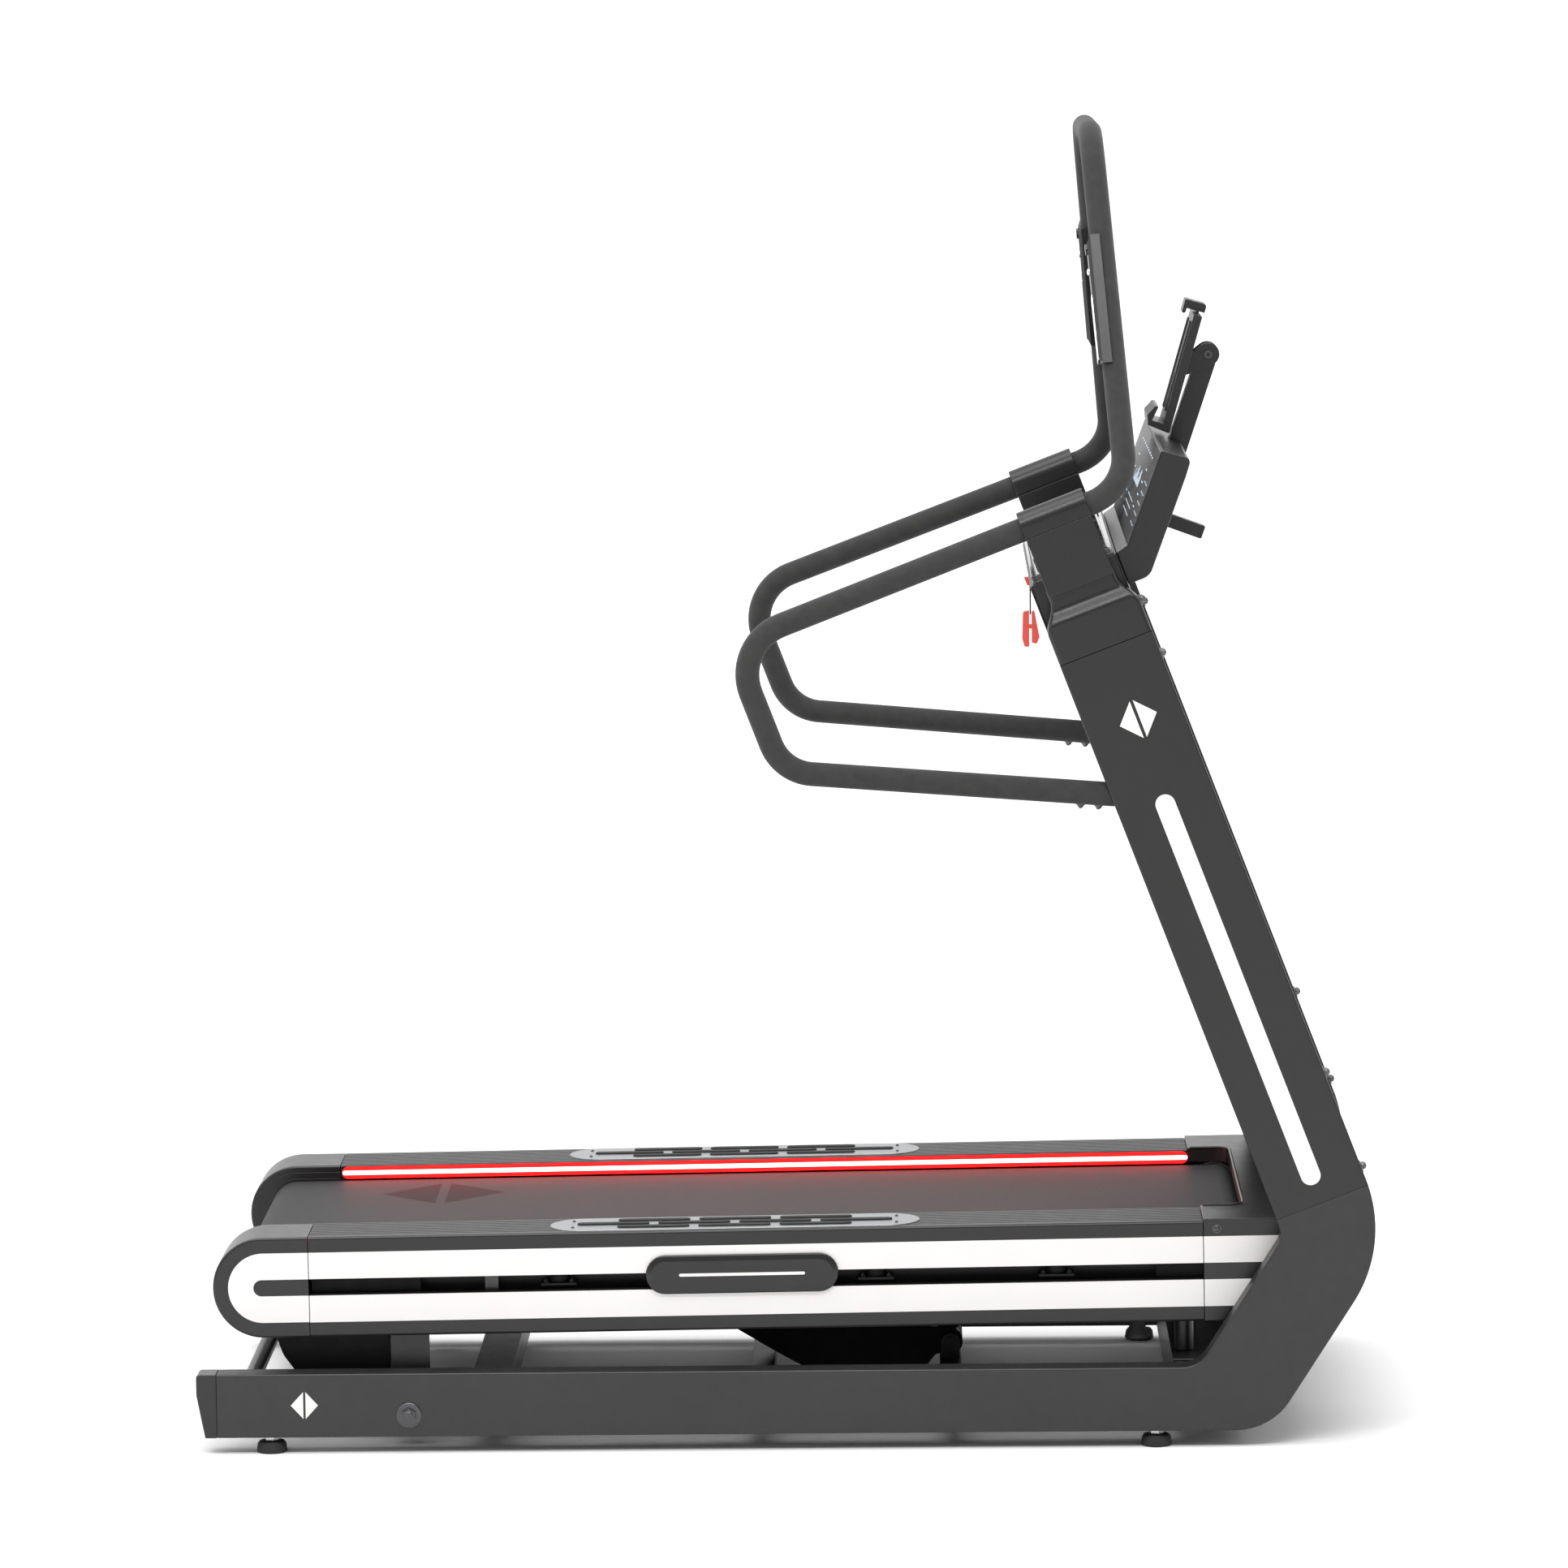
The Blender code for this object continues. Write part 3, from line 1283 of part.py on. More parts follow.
def make_hood(deck):
    """The front cover over the motor, notched for the belt and open underneath."""
    wall = DECK_SHELL
    lip = 0.003
    recess = FRONT - HOOD_RECESS_FROM_FRONT
    rear = FRONT_SEAM + GAP / 2
    outer = hood_outline(0, rear, DECK_BOTTOM)
    hood = finish("motor_hood", prism([outer], -DECK_HALF, DECK_HALF), PLASTIC)
    inside = DECK_HALF - wall
    low = DECK_BOTTOM - 0.02
    cut(hood, prism([hood_outline(wall, recess + lip, low)], -inside, inside))
    lip_bottom = DECK_TOP - RAIL_LIP_DROP
    notch = rounded([
        (rear - 0.01, -RAIL_INNER, 0),
        (recess, -RAIL_INNER, HOOD_RECESS_RADIUS),
        (recess, RAIL_INNER, HOOD_RECESS_RADIUS),
        (rear - 0.01, RAIL_INNER, 0),
    ], 4)
    cut(hood, prism([notch], low, DECK_TOP + 0.02, "XY"))
    for _, side in SIDES:
        y = span(side, RAIL_INNER + lip, inside)
        cut(hood, block((rear - 0.01, y[0], low), (recess + 0.01, y[1], DECK_TOP + HOOD_RISE - wall)))
    under = (rear - 0.01, -RAIL_INNER - 0.02, low)
    cut(hood, block(under, (recess + 0.01, RAIL_INNER + 0.02, lip_bottom)))
    hang(hood, deck)


def make_deck_frame(deck):
    """Two long plates on edge, the bars that tie them, the pivot legs and the rest bumpers."""
    rear = REAR_ROLLER_X - 0.022
    front = FRONT_ROLLER_X + 0.030
    y = span(-1, PLATE_INNER, PLATE_OUTER)
    top = BOARD_BOTTOM - GAP
    frame = finish("deck_frame", block((rear, y[0], BEAM_PLATE_BOTTOM), (front, y[1], top)), PAINT)
    y = span(1, PLATE_INNER, PLATE_OUTER)
    join(frame, block((rear, y[0], BEAM_PLATE_BOTTOM), (front, y[1], top)))
    inner_low = ROLLER_Z - ROLLER_RADIUS + 0.008
    inner_high = BOARD_BOTTOM - 0.006
    reach = PLATE_INNER + BEAM_PLATE / 2
    for share in (0.24, 0.76):
        x = REAR_ROLLER_X + (FRONT_ROLLER_X - REAR_ROLLER_X) * share
        bar_low = (x, -reach, inner_low)
        join(frame, block(bar_low, (x + DECK_BAR_LENGTH, reach, inner_high)))
    pad_x = LIFT_X - LIFT_ARM_REACH
    pad_low = (pad_x - LIFT_PAD_REAR, -reach, LIFT_PAD_HEIGHT)
    pad_high = (pad_x + LIFT_PAD_FRONT, reach, LIFT_PAD_HEIGHT + LIFT_PAD_THICKNESS)
    join(frame, block(pad_low, pad_high))
    for _, side in SIDES:
        join_leg(frame, side)
        join_bumper(frame, side)
    for x in (REAR_ROLLER_X, FRONT_ROLLER_X):
        ends = [(x, d, ROLLER_Z) for d in (-PLATE_OUTER - 0.01, PLATE_OUTER + 0.01)]
        cut(frame, rod(*ends, ROLLER_SHAFT_RADIUS + 0.0005))
    hang(frame, deck)


def join_leg(frame, side):
    """One pivot leg: a gusset out from the plate and a rounded tongue down to the bolt."""
    half = LEG_WIDTH / 2
    corners = [
        (PIVOT_X - half, BEAM_PLATE_BOTTOM + 0.032, 0),
        (PIVOT_X - half, PIVOT_Z - LEG_RADIUS, LEG_RADIUS),
        (PIVOT_X + half, PIVOT_Z - LEG_RADIUS, LEG_RADIUS),
        (PIVOT_X + half, BEAM_PLATE_BOTTOM + 0.032, 0),
    ]
    y = span(side, LEG_OUTER - LEG_THICKNESS, LEG_OUTER)
    join(frame, prism([rounded(corners, 6)], *y))
    shelf = span(side, PLATE_INNER + BEAM_PLATE / 2, LEG_OUTER - LEG_THICKNESS / 2)
    low = (PIVOT_X - half + 0.004, shelf[0], BEAM_PLATE_BOTTOM + 0.01)
    join(frame, block(low, (PIVOT_X + half - 0.004, shelf[1], BEAM_PLATE_BOTTOM + 0.03)))
    ends = [(PIVOT_X, side * d, PIVOT_Z) for d in (LEG_OUTER - LEG_THICKNESS - 0.01, LEG_OUTER + 0.01)]
    cut(frame, rod(*ends, PIVOT_BOLT_RADIUS + 0.0003))


def join_bumper(frame, side):
    """A rubber-tipped post under the plate, which stands on the floor pan at rest."""
    x = FRONT - BUMPER_FROM_FRONT
    lift = (x - PIVOT_X) * math.sin(DECK_RAKE)
    beside_skirt = DECK_HALF - 2 * SKIRT_RETURN - BUMPER_RADIUS - 0.002
    y = side * min(PLATE_INNER + BEAM_PLATE / 2, beside_skirt)
    low = (x, y, PAN_HIGH + BUMPER_REST_GAP - lift)
    join(frame, rod(low, (x, y, BEAM_PLATE_BOTTOM + 0.012), BUMPER_RADIUS, 20))


def make_running_surface(deck):
    low = REAR_SEAM + 0.003
    high = FRONT_ROLLER_X - ROLLER_RADIUS - 0.006
    half = DECK_HALF - 0.03
    board = finish("deck_board", block((low, -half, BOARD_BOTTOM), (high, half, BOARD_TOP)), WOOD)
    hang(board, deck)
    ends = ((REAR_ROLLER_X, ROLLER_Z), (FRONT_ROLLER_X, ROLLER_Z))
    inner = ROLLER_RADIUS + GAP
    outer = ROLLER_RADIUS + BELT_THICKNESS
    loops = [around_two(ends[0], r, ends[1], r, 14) for r in (outer, inner)]
    belt = finish("running_belt", prism(loops, -BELT_HALF, BELT_HALF), BELT)
    hang(belt, deck)


def make_roller(name, x, deck, pulley):
    """A roller on its shaft, turned as one, with the drive pulley on the front one."""
    half = BELT_HALF + 0.0005
    shaft = PLATE_OUTER + 0.006
    spin = pivot(name + "_spin", (x, 0, ROLLER_Z), deck)
    roller = finish(name, rod((x, -half, ROLLER_Z), (x, half, ROLLER_Z), ROLLER_RADIUS), STEEL)
    join(roller, rod((x, -shaft, ROLLER_Z), (x, shaft, ROLLER_Z), ROLLER_SHAFT_RADIUS, 20))
    if pulley:
        ends = [(x, PULLEY_Y + d, ROLLER_Z) for d in (-PULLEY_WIDTH / 2, PULLEY_WIDTH / 2)]
        join(roller, rod(*ends, ROLLER_PULLEY_RADIUS, 28))
    hang(roller, spin)


def make_belly_cover(deck):
    """The sheet-metal tub under the rear of the deck, between the pivot legs."""
    rear = REAR + 0.112
    front = rear + 0.168
    corners = [
        (rear, DECK_BOTTOM - 0.001, 0),
        (rear + 0.010, DECK_BOTTOM - 0.030, 0.04),
        (rear + 0.045, DECK_BOTTOM - 0.080, 0.03),
        (front, DECK_BOTTOM - 0.080, 0.02),
        (front, DECK_BOTTOM - 0.001, 0),
    ]
    half = LEG_OUTER - LEG_THICKNESS - 0.008
    cover = finish("rear_belly_cover", prism([rounded(corners, 5)], -half, half), PAINT)
    wall = 0.0025
    inner = [
        (rear + wall, DECK_BOTTOM + 0.010, 0),
        (rear + 0.010 + wall, DECK_BOTTOM - 0.030, 0.04 - wall),
        (rear + 0.045 + wall, DECK_BOTTOM - 0.080 + wall, 0.03 - wall),
        (front - wall, DECK_BOTTOM - 0.080 + wall, 0.02 - wall),
        (front - wall, DECK_BOTTOM + 0.010, 0),
    ]
    cut(cover, prism([rounded(inner, 5)], -half + wall, half - wall))
    hang(cover, deck)


def make_drive(deck):
    """The motor with its pulley and the ribbed belt to the front roller."""
    case = [(MOTOR_X, y, MOTOR_Z) for y in (-MOTOR_LENGTH / 2, MOTOR_LENGTH / 2)]
    motor = finish("drive_motor", rod(*case, MOTOR_RADIUS, 28), PAINT)
    bell = [(MOTOR_X, y, MOTOR_Z) for y in (-MOTOR_LENGTH / 2 - 0.012, 0)]
    join(motor, rod(*bell, MOTOR_RADIUS - 0.008, 28))
    foot_low = (MOTOR_X - 0.030, -MOTOR_LENGTH / 2 + 0.03, MOTOR_Z - MOTOR_RADIUS - 0.012)
    foot_high = (MOTOR_X + 0.030, MOTOR_LENGTH / 2 - 0.03, MOTOR_Z - MOTOR_RADIUS + 0.012)
    join(motor, block(foot_low, foot_high))
    hang(motor, deck)
    shaft = [(MOTOR_X, y, MOTOR_Z) for y in (MOTOR_LENGTH / 2 + GAP, PULLEY_Y + 0.012)]
    pulley = finish("motor_pulley", rod(*shaft, 0.008, 20), STEEL)
    rim = [(MOTOR_X, PULLEY_Y + d, MOTOR_Z) for d in (-PULLEY_WIDTH / 2, PULLEY_WIDTH / 2)]
    join(pulley, rod(*rim, MOTOR_PULLEY_RADIUS, 24))
    hang(pulley, pivot("motor_spin", (MOTOR_X, 0, MOTOR_Z), deck))
    roller = (FRONT_ROLLER_X, ROLLER_Z)
    motor_end = (MOTOR_X, MOTOR_Z)
    loops = []
    for extra in (DRIVE_BELT_THICKNESS, GAP):
        radii = (ROLLER_PULLEY_RADIUS + extra, MOTOR_PULLEY_RADIUS + extra)
        loops.append(around_two(roller, radii[0], motor_end, radii[1], 14))
    y = (PULLEY_Y - PULLEY_WIDTH / 2 + 0.001, PULLEY_Y + PULLEY_WIDTH / 2 - 0.001)
    belt = finish("drive_belt", prism(loops, *y), RUBBER)
    hang(belt, deck)


# Lift gear


def lift_tip():
    """The lift roller's centre at rest, a small gap under the deck's pad."""
    x = LIFT_X - LIFT_ARM_REACH
    pad = LIFT_PAD_HEIGHT + (x - PIVOT_X) * math.sin(DECK_RAKE)
    return x, pad - LIFT_ROLLER_RADIUS - LIFT_ROLLER_GAP


def lift_arm_outline(tip):
    """The deep cheek of the arm, which hangs below the pin and clears the middle beam."""
    x, z = LIFT_X, LIFT_PIVOT_Z
    return rounded([
        (tip[0] - 0.013, tip[1] + 0.012, 0.011),
        (tip[0] - 0.013, tip[1] - 0.014, 0.011),
        (x - 0.257, z - 0.017, 0.03),
        (x - 0.193, z - 0.052, 0.03),
        (x - 0.050, z - 0.055, 0.02),
        (x - 0.022, z - 0.018, 0.01),
        (x + 0.018, z - 0.018, 0.016),
        (x + 0.018, z + 0.018, 0.016),
        (x - 0.075, z + 0.029, 0.05),
        (tip[0] + 0.03, tip[1] + 0.013, 0.02),
    ], 4)


def make_lift_arm():
    """A bell crank: a channel from the pin to the roller, and a lever up to the screw."""
    tip = lift_tip()
    pin = (LIFT_X, LIFT_PIVOT_Z)
    lever = lift_axis()
    half = LIFT_ARM_HALF_WIDTH
    arm = finish("lift_arm", prism([lift_arm_outline(tip)], -half, half), PAINT)
    direction = Vector((pin[0] - tip[0], pin[1] - tip[1])).normalized()
    down = Vector((direction.y, -direction.x))
    start = Vector(tip) + direction * 0.030
    end = Vector(pin) - direction * 0.030
    channel = [start - down * 0.007, end - down * 0.009, end + down * 0.09, start + down * 0.09]
    plate = half - LIFT_ARM_PLATE
    cut(arm, prism([[tuple(p) for p in channel]], -plate, plate))
    join(arm, prism([around_two(lever, LIFT_EYE_RADIUS, pin, 0.016, 8)], -0.0085, 0.0085))
    ends = [(tip[0], y, tip[1]) for y in (-half - 0.01, half + 0.01)]
    join(arm, rod(*ends, LIFT_ROLLER_RADIUS, 20))
    bore = [(LIFT_X, y, LIFT_PIVOT_Z) for y in (-half - 0.02, half + 0.02)]
    cut(arm, rod(*bore, LIFT_PIN_RADIUS + 0.0004, 20))
    eye = [(lever[0], y, lever[1]) for y in (-0.02, 0.02)]
    cut(arm, rod(*eye, 0.0075, 16))
    hang(arm, pivot("lift_arm_swing", (LIFT_X, 0, LIFT_PIVOT_Z)))


def make_actuator():
    """The lift motor's case and the screw that pulls the lever, joined to it by a loose pin."""
    x, z = lift_axis()
    eye = LIFT_EYE_RADIUS
    slide = pivot("lift_screw_slide", (x, 0, z))
    neck = x + 0.028
    screw = finish("lift_screw", rod((neck, 0, z), (x + LIFT_ROD_LENGTH, 0, z), LIFT_ROD_RADIUS, 20), STEEL)
    yoke = rounded([
        (x - eye, z - eye, eye - 0.001),
        (neck + 0.006, z - eye, 0),
        (neck + 0.006, z + eye, 0),
        (x - eye, z + eye, eye - 0.001),
    ], 5)
    join(screw, prism([yoke], -0.018, 0.018))
    cut(screw, block((x - 0.03, -0.0105, z - 0.03), (x + 0.022, 0.0105, z + 0.03)))
    join(screw, rod((x, -0.019, z), (x, 0.019, z), 0.006, 16))
    hang(screw, slide)
    make_lift_motor(x, z)


def make_lift_motor(x, z):
    tail_x = FRONT - PAN_REAR_FROM_FRONT + 0.030
    case_front = tail_x - 0.030
    case_rear = case_front - LIFT_CASE_LENGTH
    case = finish("lift_motor", rod((case_rear, 0, z), (case_front, 0, z), LIFT_CASE_RADIUS, 24), PAINT)
    join(case, block((case_front - 0.06, -0.075, z - 0.022), (case_front - 0.01, 0.012, z + 0.022)))
    tail = around_two((case_front - 0.004, z), 0.011, (tail_x, z), 0.010, 6)
    join(case, prism([tail], -0.011, 0.011))
    bore_end = x + LIFT_ROD_LENGTH + 0.035
    cut(case, rod((case_rear - 0.01, 0, z), (bore_end, 0, z), LIFT_ROD_RADIUS + 0.0006, 20))
    cut(case, rod((tail_x, -0.02, z), (tail_x, 0.02, z), 0.004, 12))


# Power module


def make_power_module():
    """The mains inlet and its rocker switch, in the front of the floor pan."""
    depth, width, height = MODULE_SIZE
    front = FRONT - PAN_REAR_FROM_FRONT + PAN_LENGTH
    z = (PAN_LOW + PAN_HIGH) / 2
    low = (front + 0.002 - depth, MODULE_Y - width / 2, z - height / 2)
    high = (front + 0.002, MODULE_Y + width / 2, z + height / 2)
    inlet = finish("power_inlet", block(low, high), PLASTIC)
    socket_y = MODULE_Y - 0.013
    socket_low = (front - 0.014, socket_y - 0.012, z - 0.010)
    cut(inlet, block(socket_low, (front + 0.01, socket_y + 0.012, z + 0.010)))
    switch_y = MODULE_Y + 0.016
    half = (0.009, 0.0125)
    well_low = (front - 0.012, switch_y - half[0] - 0.0005, z - half[1] - 0.0015)
    well_high = (front + 0.01, switch_y + half[0] + 0.0005, z + half[1] + 0.0015)
    cut(inlet, block(well_low, well_high))
    outline = rounded([
        (front - 0.008, z - 0.006, 0.002),
        (front + 0.001, z - half[1], 0.001),
        (front + 0.0045, z - half[1] + 0.001, 0.001),
        (front + 0.0030, z, 0),
        (front + 0.0045, z + half[1] - 0.001, 0.001),
        (front + 0.001, z + half[1], 0.001),
        (front - 0.008, z + 0.006, 0.002),
    ], 2)
    rocker = finish("power_switch", prism([outline], switch_y - half[0], switch_y + half[0]), GLOSS)
    hang(rocker, pivot("power_switch_rock", (front - 0.002, switch_y, z)))


def make_base():
    make_side_frames()
    make_end_caps()
    make_feet()
    make_pivot_bolts()
    make_cross_members()
    make_uprights()
    make_cross_panel()
    make_heads()
    make_side_handles()
    make_tall_bar()
    make_pods()
    make_console()
    make_tablet_arm()
    make_tablet_holder()
    make_safety_tether()
    make_power_module()
    make_lift_arm()
    make_actuator()


def make_deck():
    deck = deck_pivot()
    make_deck_sides(deck)
    make_rear_caps(deck)
    make_hood(deck)
    make_deck_frame(deck)
    make_running_surface(deck)
    make_roller("rear_roller", REAR_ROLLER_X, deck, False)
    make_roller("front_roller", FRONT_ROLLER_X, deck, True)
    make_belly_cover(deck)
    make_drive(deck)


make_base()
make_deck()
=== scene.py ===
"""Looks of the motorised incline treadmill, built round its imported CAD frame.

Metres, in the CAD's own frame: +Z up, +X towards the console, +Y to the runner's left. Pieces of the running
deck are modelled level and then raked with it.
"""

import json
import math

import bmesh
import bpy
from mathutils import Matrix, Vector


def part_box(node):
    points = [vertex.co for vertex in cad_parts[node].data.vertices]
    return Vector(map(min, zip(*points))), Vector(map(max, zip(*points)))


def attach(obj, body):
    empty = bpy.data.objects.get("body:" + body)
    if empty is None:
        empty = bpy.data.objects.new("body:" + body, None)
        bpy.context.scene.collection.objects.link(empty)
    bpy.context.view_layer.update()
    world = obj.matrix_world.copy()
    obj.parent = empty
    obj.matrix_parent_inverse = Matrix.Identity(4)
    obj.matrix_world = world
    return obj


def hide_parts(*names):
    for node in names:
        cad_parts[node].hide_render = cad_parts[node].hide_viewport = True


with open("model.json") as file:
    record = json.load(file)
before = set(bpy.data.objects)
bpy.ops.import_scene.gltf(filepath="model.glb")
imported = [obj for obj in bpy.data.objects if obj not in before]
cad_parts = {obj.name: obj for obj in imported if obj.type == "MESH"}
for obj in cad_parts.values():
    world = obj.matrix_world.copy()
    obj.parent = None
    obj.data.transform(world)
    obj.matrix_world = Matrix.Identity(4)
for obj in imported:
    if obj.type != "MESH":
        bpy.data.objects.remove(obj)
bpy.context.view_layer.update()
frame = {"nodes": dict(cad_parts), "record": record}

NODES = frame["nodes"]
BODIES = frame["record"]["behaviour"]["bodies"]
BODY_OF = {node: body for body, nodes in BODIES.items() for node in nodes}
SIDES = (("right", -1), ("left", 1))

# Side frames and uprights
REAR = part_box("rail_end_cap_left")[0].x
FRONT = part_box("side_frame_left")[1].x
FRAME_INNER, FRAME_OUTER = (corner.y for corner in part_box("side_frame_left"))
RAIL_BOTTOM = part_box("rail_end_cap_left")[0].z
RAIL_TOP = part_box("rail_end_cap_left")[1].z
END_CAP_LENGTH = 0.030
TUBE_MIDDLE = (FRAME_INNER + FRAME_OUTER) / 2
TUBE_EDGE = 0.0028
ELBOW_START = 0.1527
ELBOW_ANGLE = math.radians(57.2)
ELBOW_WIDTH = 0.139
HEEL_RADIUS = 0.094
KNEE_RADIUS = 0.2009
CROOK_RADIUS = 0.03
TOE_RADIUS = 0.045
LEAN = math.radians(20.85)
UPRIGHT_WIDTH = 0.142
UPRIGHT_LENGTH = 0.868
SHOULDER = UPRIGHT_LENGTH + 0.054
HEAD_TOP = SHOULDER + 0.050
BRACKET_INSET = 0.021
BRACKET_SEAM = 1.056
UP = Vector((-math.sin(LEAN), 0, math.cos(LEAN)))
ACROSS = Vector((math.cos(LEAN), 0, math.sin(LEAN)))
FOOT_OF_UPRIGHT = Vector((FRONT - 0.1433, 0, 0.3344))

# Handlebars and pods
GRIP_RADIUS = 0.0175
GRIP_ALONG = 1.0695
GRIP_REACH = 0.4287
GRIP_SPLAY = 0.0225
BAR_BEND_ACROSS = 0.182
BAR_LEAN = 0.088
BAR_TOP_Z = 1.9035
BAR_TOP_HALF = 0.217
POD_BACK = 0.022

# Deck, level, turned about its pivot
DECK_RAKE = math.radians(0.59)
PIVOT = Vector((REAR + 0.3105, 0, 0.0565))
DECK = Matrix.Translation(PIVOT) @ Matrix.Rotation(-DECK_RAKE, 4, "Y") @ Matrix.Translation(-PIVOT)
DECK_HALF = FRAME_INNER - 0.010
DECK_MIDDLE = 0.238
DECK_TOP = DECK_MIDDLE + 0.0742
SEAM = 0.0006
SLOT_HALF = 0.0117
SHELL = 0.0035
LIP_DROP = 0.0195
RAIL_INNER = DECK_HALF - 0.118
RAIL_MIDDLE = (RAIL_INNER + DECK_HALF) / 2
REAR_SEAM = REAR + 0.165
FRONT_SEAM = FRONT - 0.2453
CAP_CENTRE = REAR_SEAM - 0.067
BAND_TOP = DECK_MIDDLE + 0.0515
BAND_BOTTOM = DECK_MIDDLE - 0.0520
HOOD_TOP = DECK_TOP + 0.003
HOOD_RECESS = FRONT - 0.182
BELT_TOP = 0.289
BELT_THICKNESS = 0.0024
BELT_HALF = RAIL_INNER - 0.0035
ROLLER_RADIUS = 0.036
ROLLER_Z = BELT_TOP - BELT_THICKNESS - ROLLER_RADIUS
REAR_ROLLER_X = REAR + 0.098
FRONT_ROLLER_X = FRONT - 0.205

# Console and tablet
GLASS_LOW = Vector((0.9896, 0.1531))
GLASS_HIGH = Vector((1.0999, 0.2486))
TABLET_AXIS = Vector((FRONT - 0.2210, 0, 1.5690))
HOLDER_LEAN = math.radians(16.1)
HOLDER_LOW = Vector((FRONT - 0.2809, 0, 1.4548))


# Camera: a long lens on the runner's right

CAMERA_PLACE = (0.20201, -10.84209, 2.20416)
CAMERA_YAW = -0.018568
CAMERA_PITCH = 0.117079
CAMERA_ROLL = -0.011557
CAMERA_LENS = 166.905
CAMERA_SENSOR = 36.0


def make_camera():
    ahead = Vector((
        math.sin(CAMERA_YAW) * math.cos(CAMERA_PITCH),
        math.cos(CAMERA_YAW) * math.cos(CAMERA_PITCH),
        -math.sin(CAMERA_PITCH),
    ))
    right = ahead.cross(Vector((0, 0, 1))).normalized()
    over = right.cross(ahead)
    x_axis = right * math.cos(CAMERA_ROLL) + over * math.sin(CAMERA_ROLL)
    y_axis = over * math.cos(CAMERA_ROLL) - right * math.sin(CAMERA_ROLL)
    data = bpy.data.cameras.new("camera")
    data.lens = CAMERA_LENS
    data.sensor_width = CAMERA_SENSOR
    data.clip_end = 200.0
    camera = link(bpy.data.objects.new("camera", data))
    matrix = Matrix((x_axis, y_axis, -ahead)).transposed().to_4x4()
    matrix.translation = CAMERA_PLACE
    camera.matrix_world = matrix
    bpy.context.scene.camera = camera


def link(obj):
    bpy.context.scene.collection.objects.link(obj)
    return obj


make_camera()


# Materials


def new_material(name, colour, roughness, metallic=0.0, **sockets):
    """A Principled material. Values that are the same all over sit on the shader's own sockets."""
    made = bpy.data.materials.new(name)
    made.use_nodes = True
    surface(made, Base_Color=(*colour, 1), Roughness=roughness, Metallic=metallic, **sockets)
    return made


def surface(made, **inputs):
    """Sets or links the inputs of a material's shader."""
    fill(made.node_tree, made.node_tree.nodes["Principled BSDF"], **inputs)


def fill(tree, node, **inputs):
    """Sets or links a node's inputs. An underscore stands for a space in an input's name."""
    for name, value in inputs.items():
        socket = node.inputs[name.replace("_", " ")]
        if isinstance(value, bpy.types.NodeSocket):
            tree.links.new(value, socket)
        else:
            socket.default_value = value
    return node


def place_on(tree, stretch=(1, 1, 1), turn=(0, 0, 0)):
    """Object coordinates, stretched and turned."""
    source = tree.nodes.new("ShaderNodeTexCoord").outputs["Object"]
    mapping = tree.nodes.new("ShaderNodeMapping")
    return fill(tree, mapping, Scale=stretch, Rotation=turn, Vector=source).outputs["Vector"]


def noise(tree, vector, scale, detail=3.0):
    texture = tree.nodes.new("ShaderNodeTexNoise")
    return fill(tree, texture, Scale=scale, Detail=detail, Vector=vector).outputs["Fac"]


def cells(tree, vector, scale):
    texture = tree.nodes.new("ShaderNodeTexVoronoi")
    return fill(tree, texture, Scale=scale, Vector=vector).outputs["Distance"]


def ranged(tree, value, low, high, start=0.3, end=0.7):
    """A value between start and end, carried to between low and high."""
    node = tree.nodes.new("ShaderNodeMapRange")
    fill(tree, node, From_Min=start, From_Max=end, To_Min=low, To_Max=high, Value=value)
    return node.outputs["Result"]


def mixed(tree, factor, first, second):
    """One of two colours, or a blend of them. A colour may be a socket or a triple."""
    node = tree.nodes.new("ShaderNodeMix")
    node.data_type = "RGBA"
    tree.links.new(factor, node.inputs[0])
    for socket, colour in ((node.inputs[6], first), (node.inputs[7], second)):
        if isinstance(colour, (tuple, list)):
            socket.default_value = (*colour, 1)
        else:
            tree.links.new(colour, socket)
    return node.outputs[2]


def sums(tree, operation, first, second):
    """A math node over two values or sockets."""
    node = tree.nodes.new("ShaderNodeMath")
    node.operation = operation
    for socket, value in zip(node.inputs, (first, second)):
        if isinstance(value, (int, float)):
            socket.default_value = value
        else:
            tree.links.new(value, socket)
    return node.outputs["Value"]


def bumped(made, height, strength, distance):
    tree = made.node_tree
    bump = fill(tree, tree.nodes.new("ShaderNodeBump"), Strength=strength, Distance=distance, Height=height)
    surface(made, Normal=bump.outputs["Normal"])


def coated(name, colour, roughness, metallic=0.0, spread=0.12, blotch=9.0, grain=700.0, depth=0.00012,
           strength=0.35, rough_spread=0.05, **sockets):
    """A painted, moulded or rubber surface: soft tone changes, uneven gloss and a fine grain."""
    made = new_material(name, colour, roughness, metallic, **sockets)
    tree = made.node_tree
    place = place_on(tree)
    tone = ranged(tree, noise(tree, place, blotch), 0.0, 1.0)
    dark = tuple(c * (1 - spread) for c in colour)
    light = tuple(min(c * (1 + spread), 1.0) for c in colour)
    low, high = max(roughness - rough_spread, 0.02), min(roughness + rough_spread, 1.0)
    gloss = ranged(tree, noise(tree, place, blotch * 6), low, high)
    surface(made, Base_Color=mixed(tree, tone, dark, light), Roughness=gloss)
    bumped(made, noise(tree, place, grain, 4.0), strength, depth)
    return made


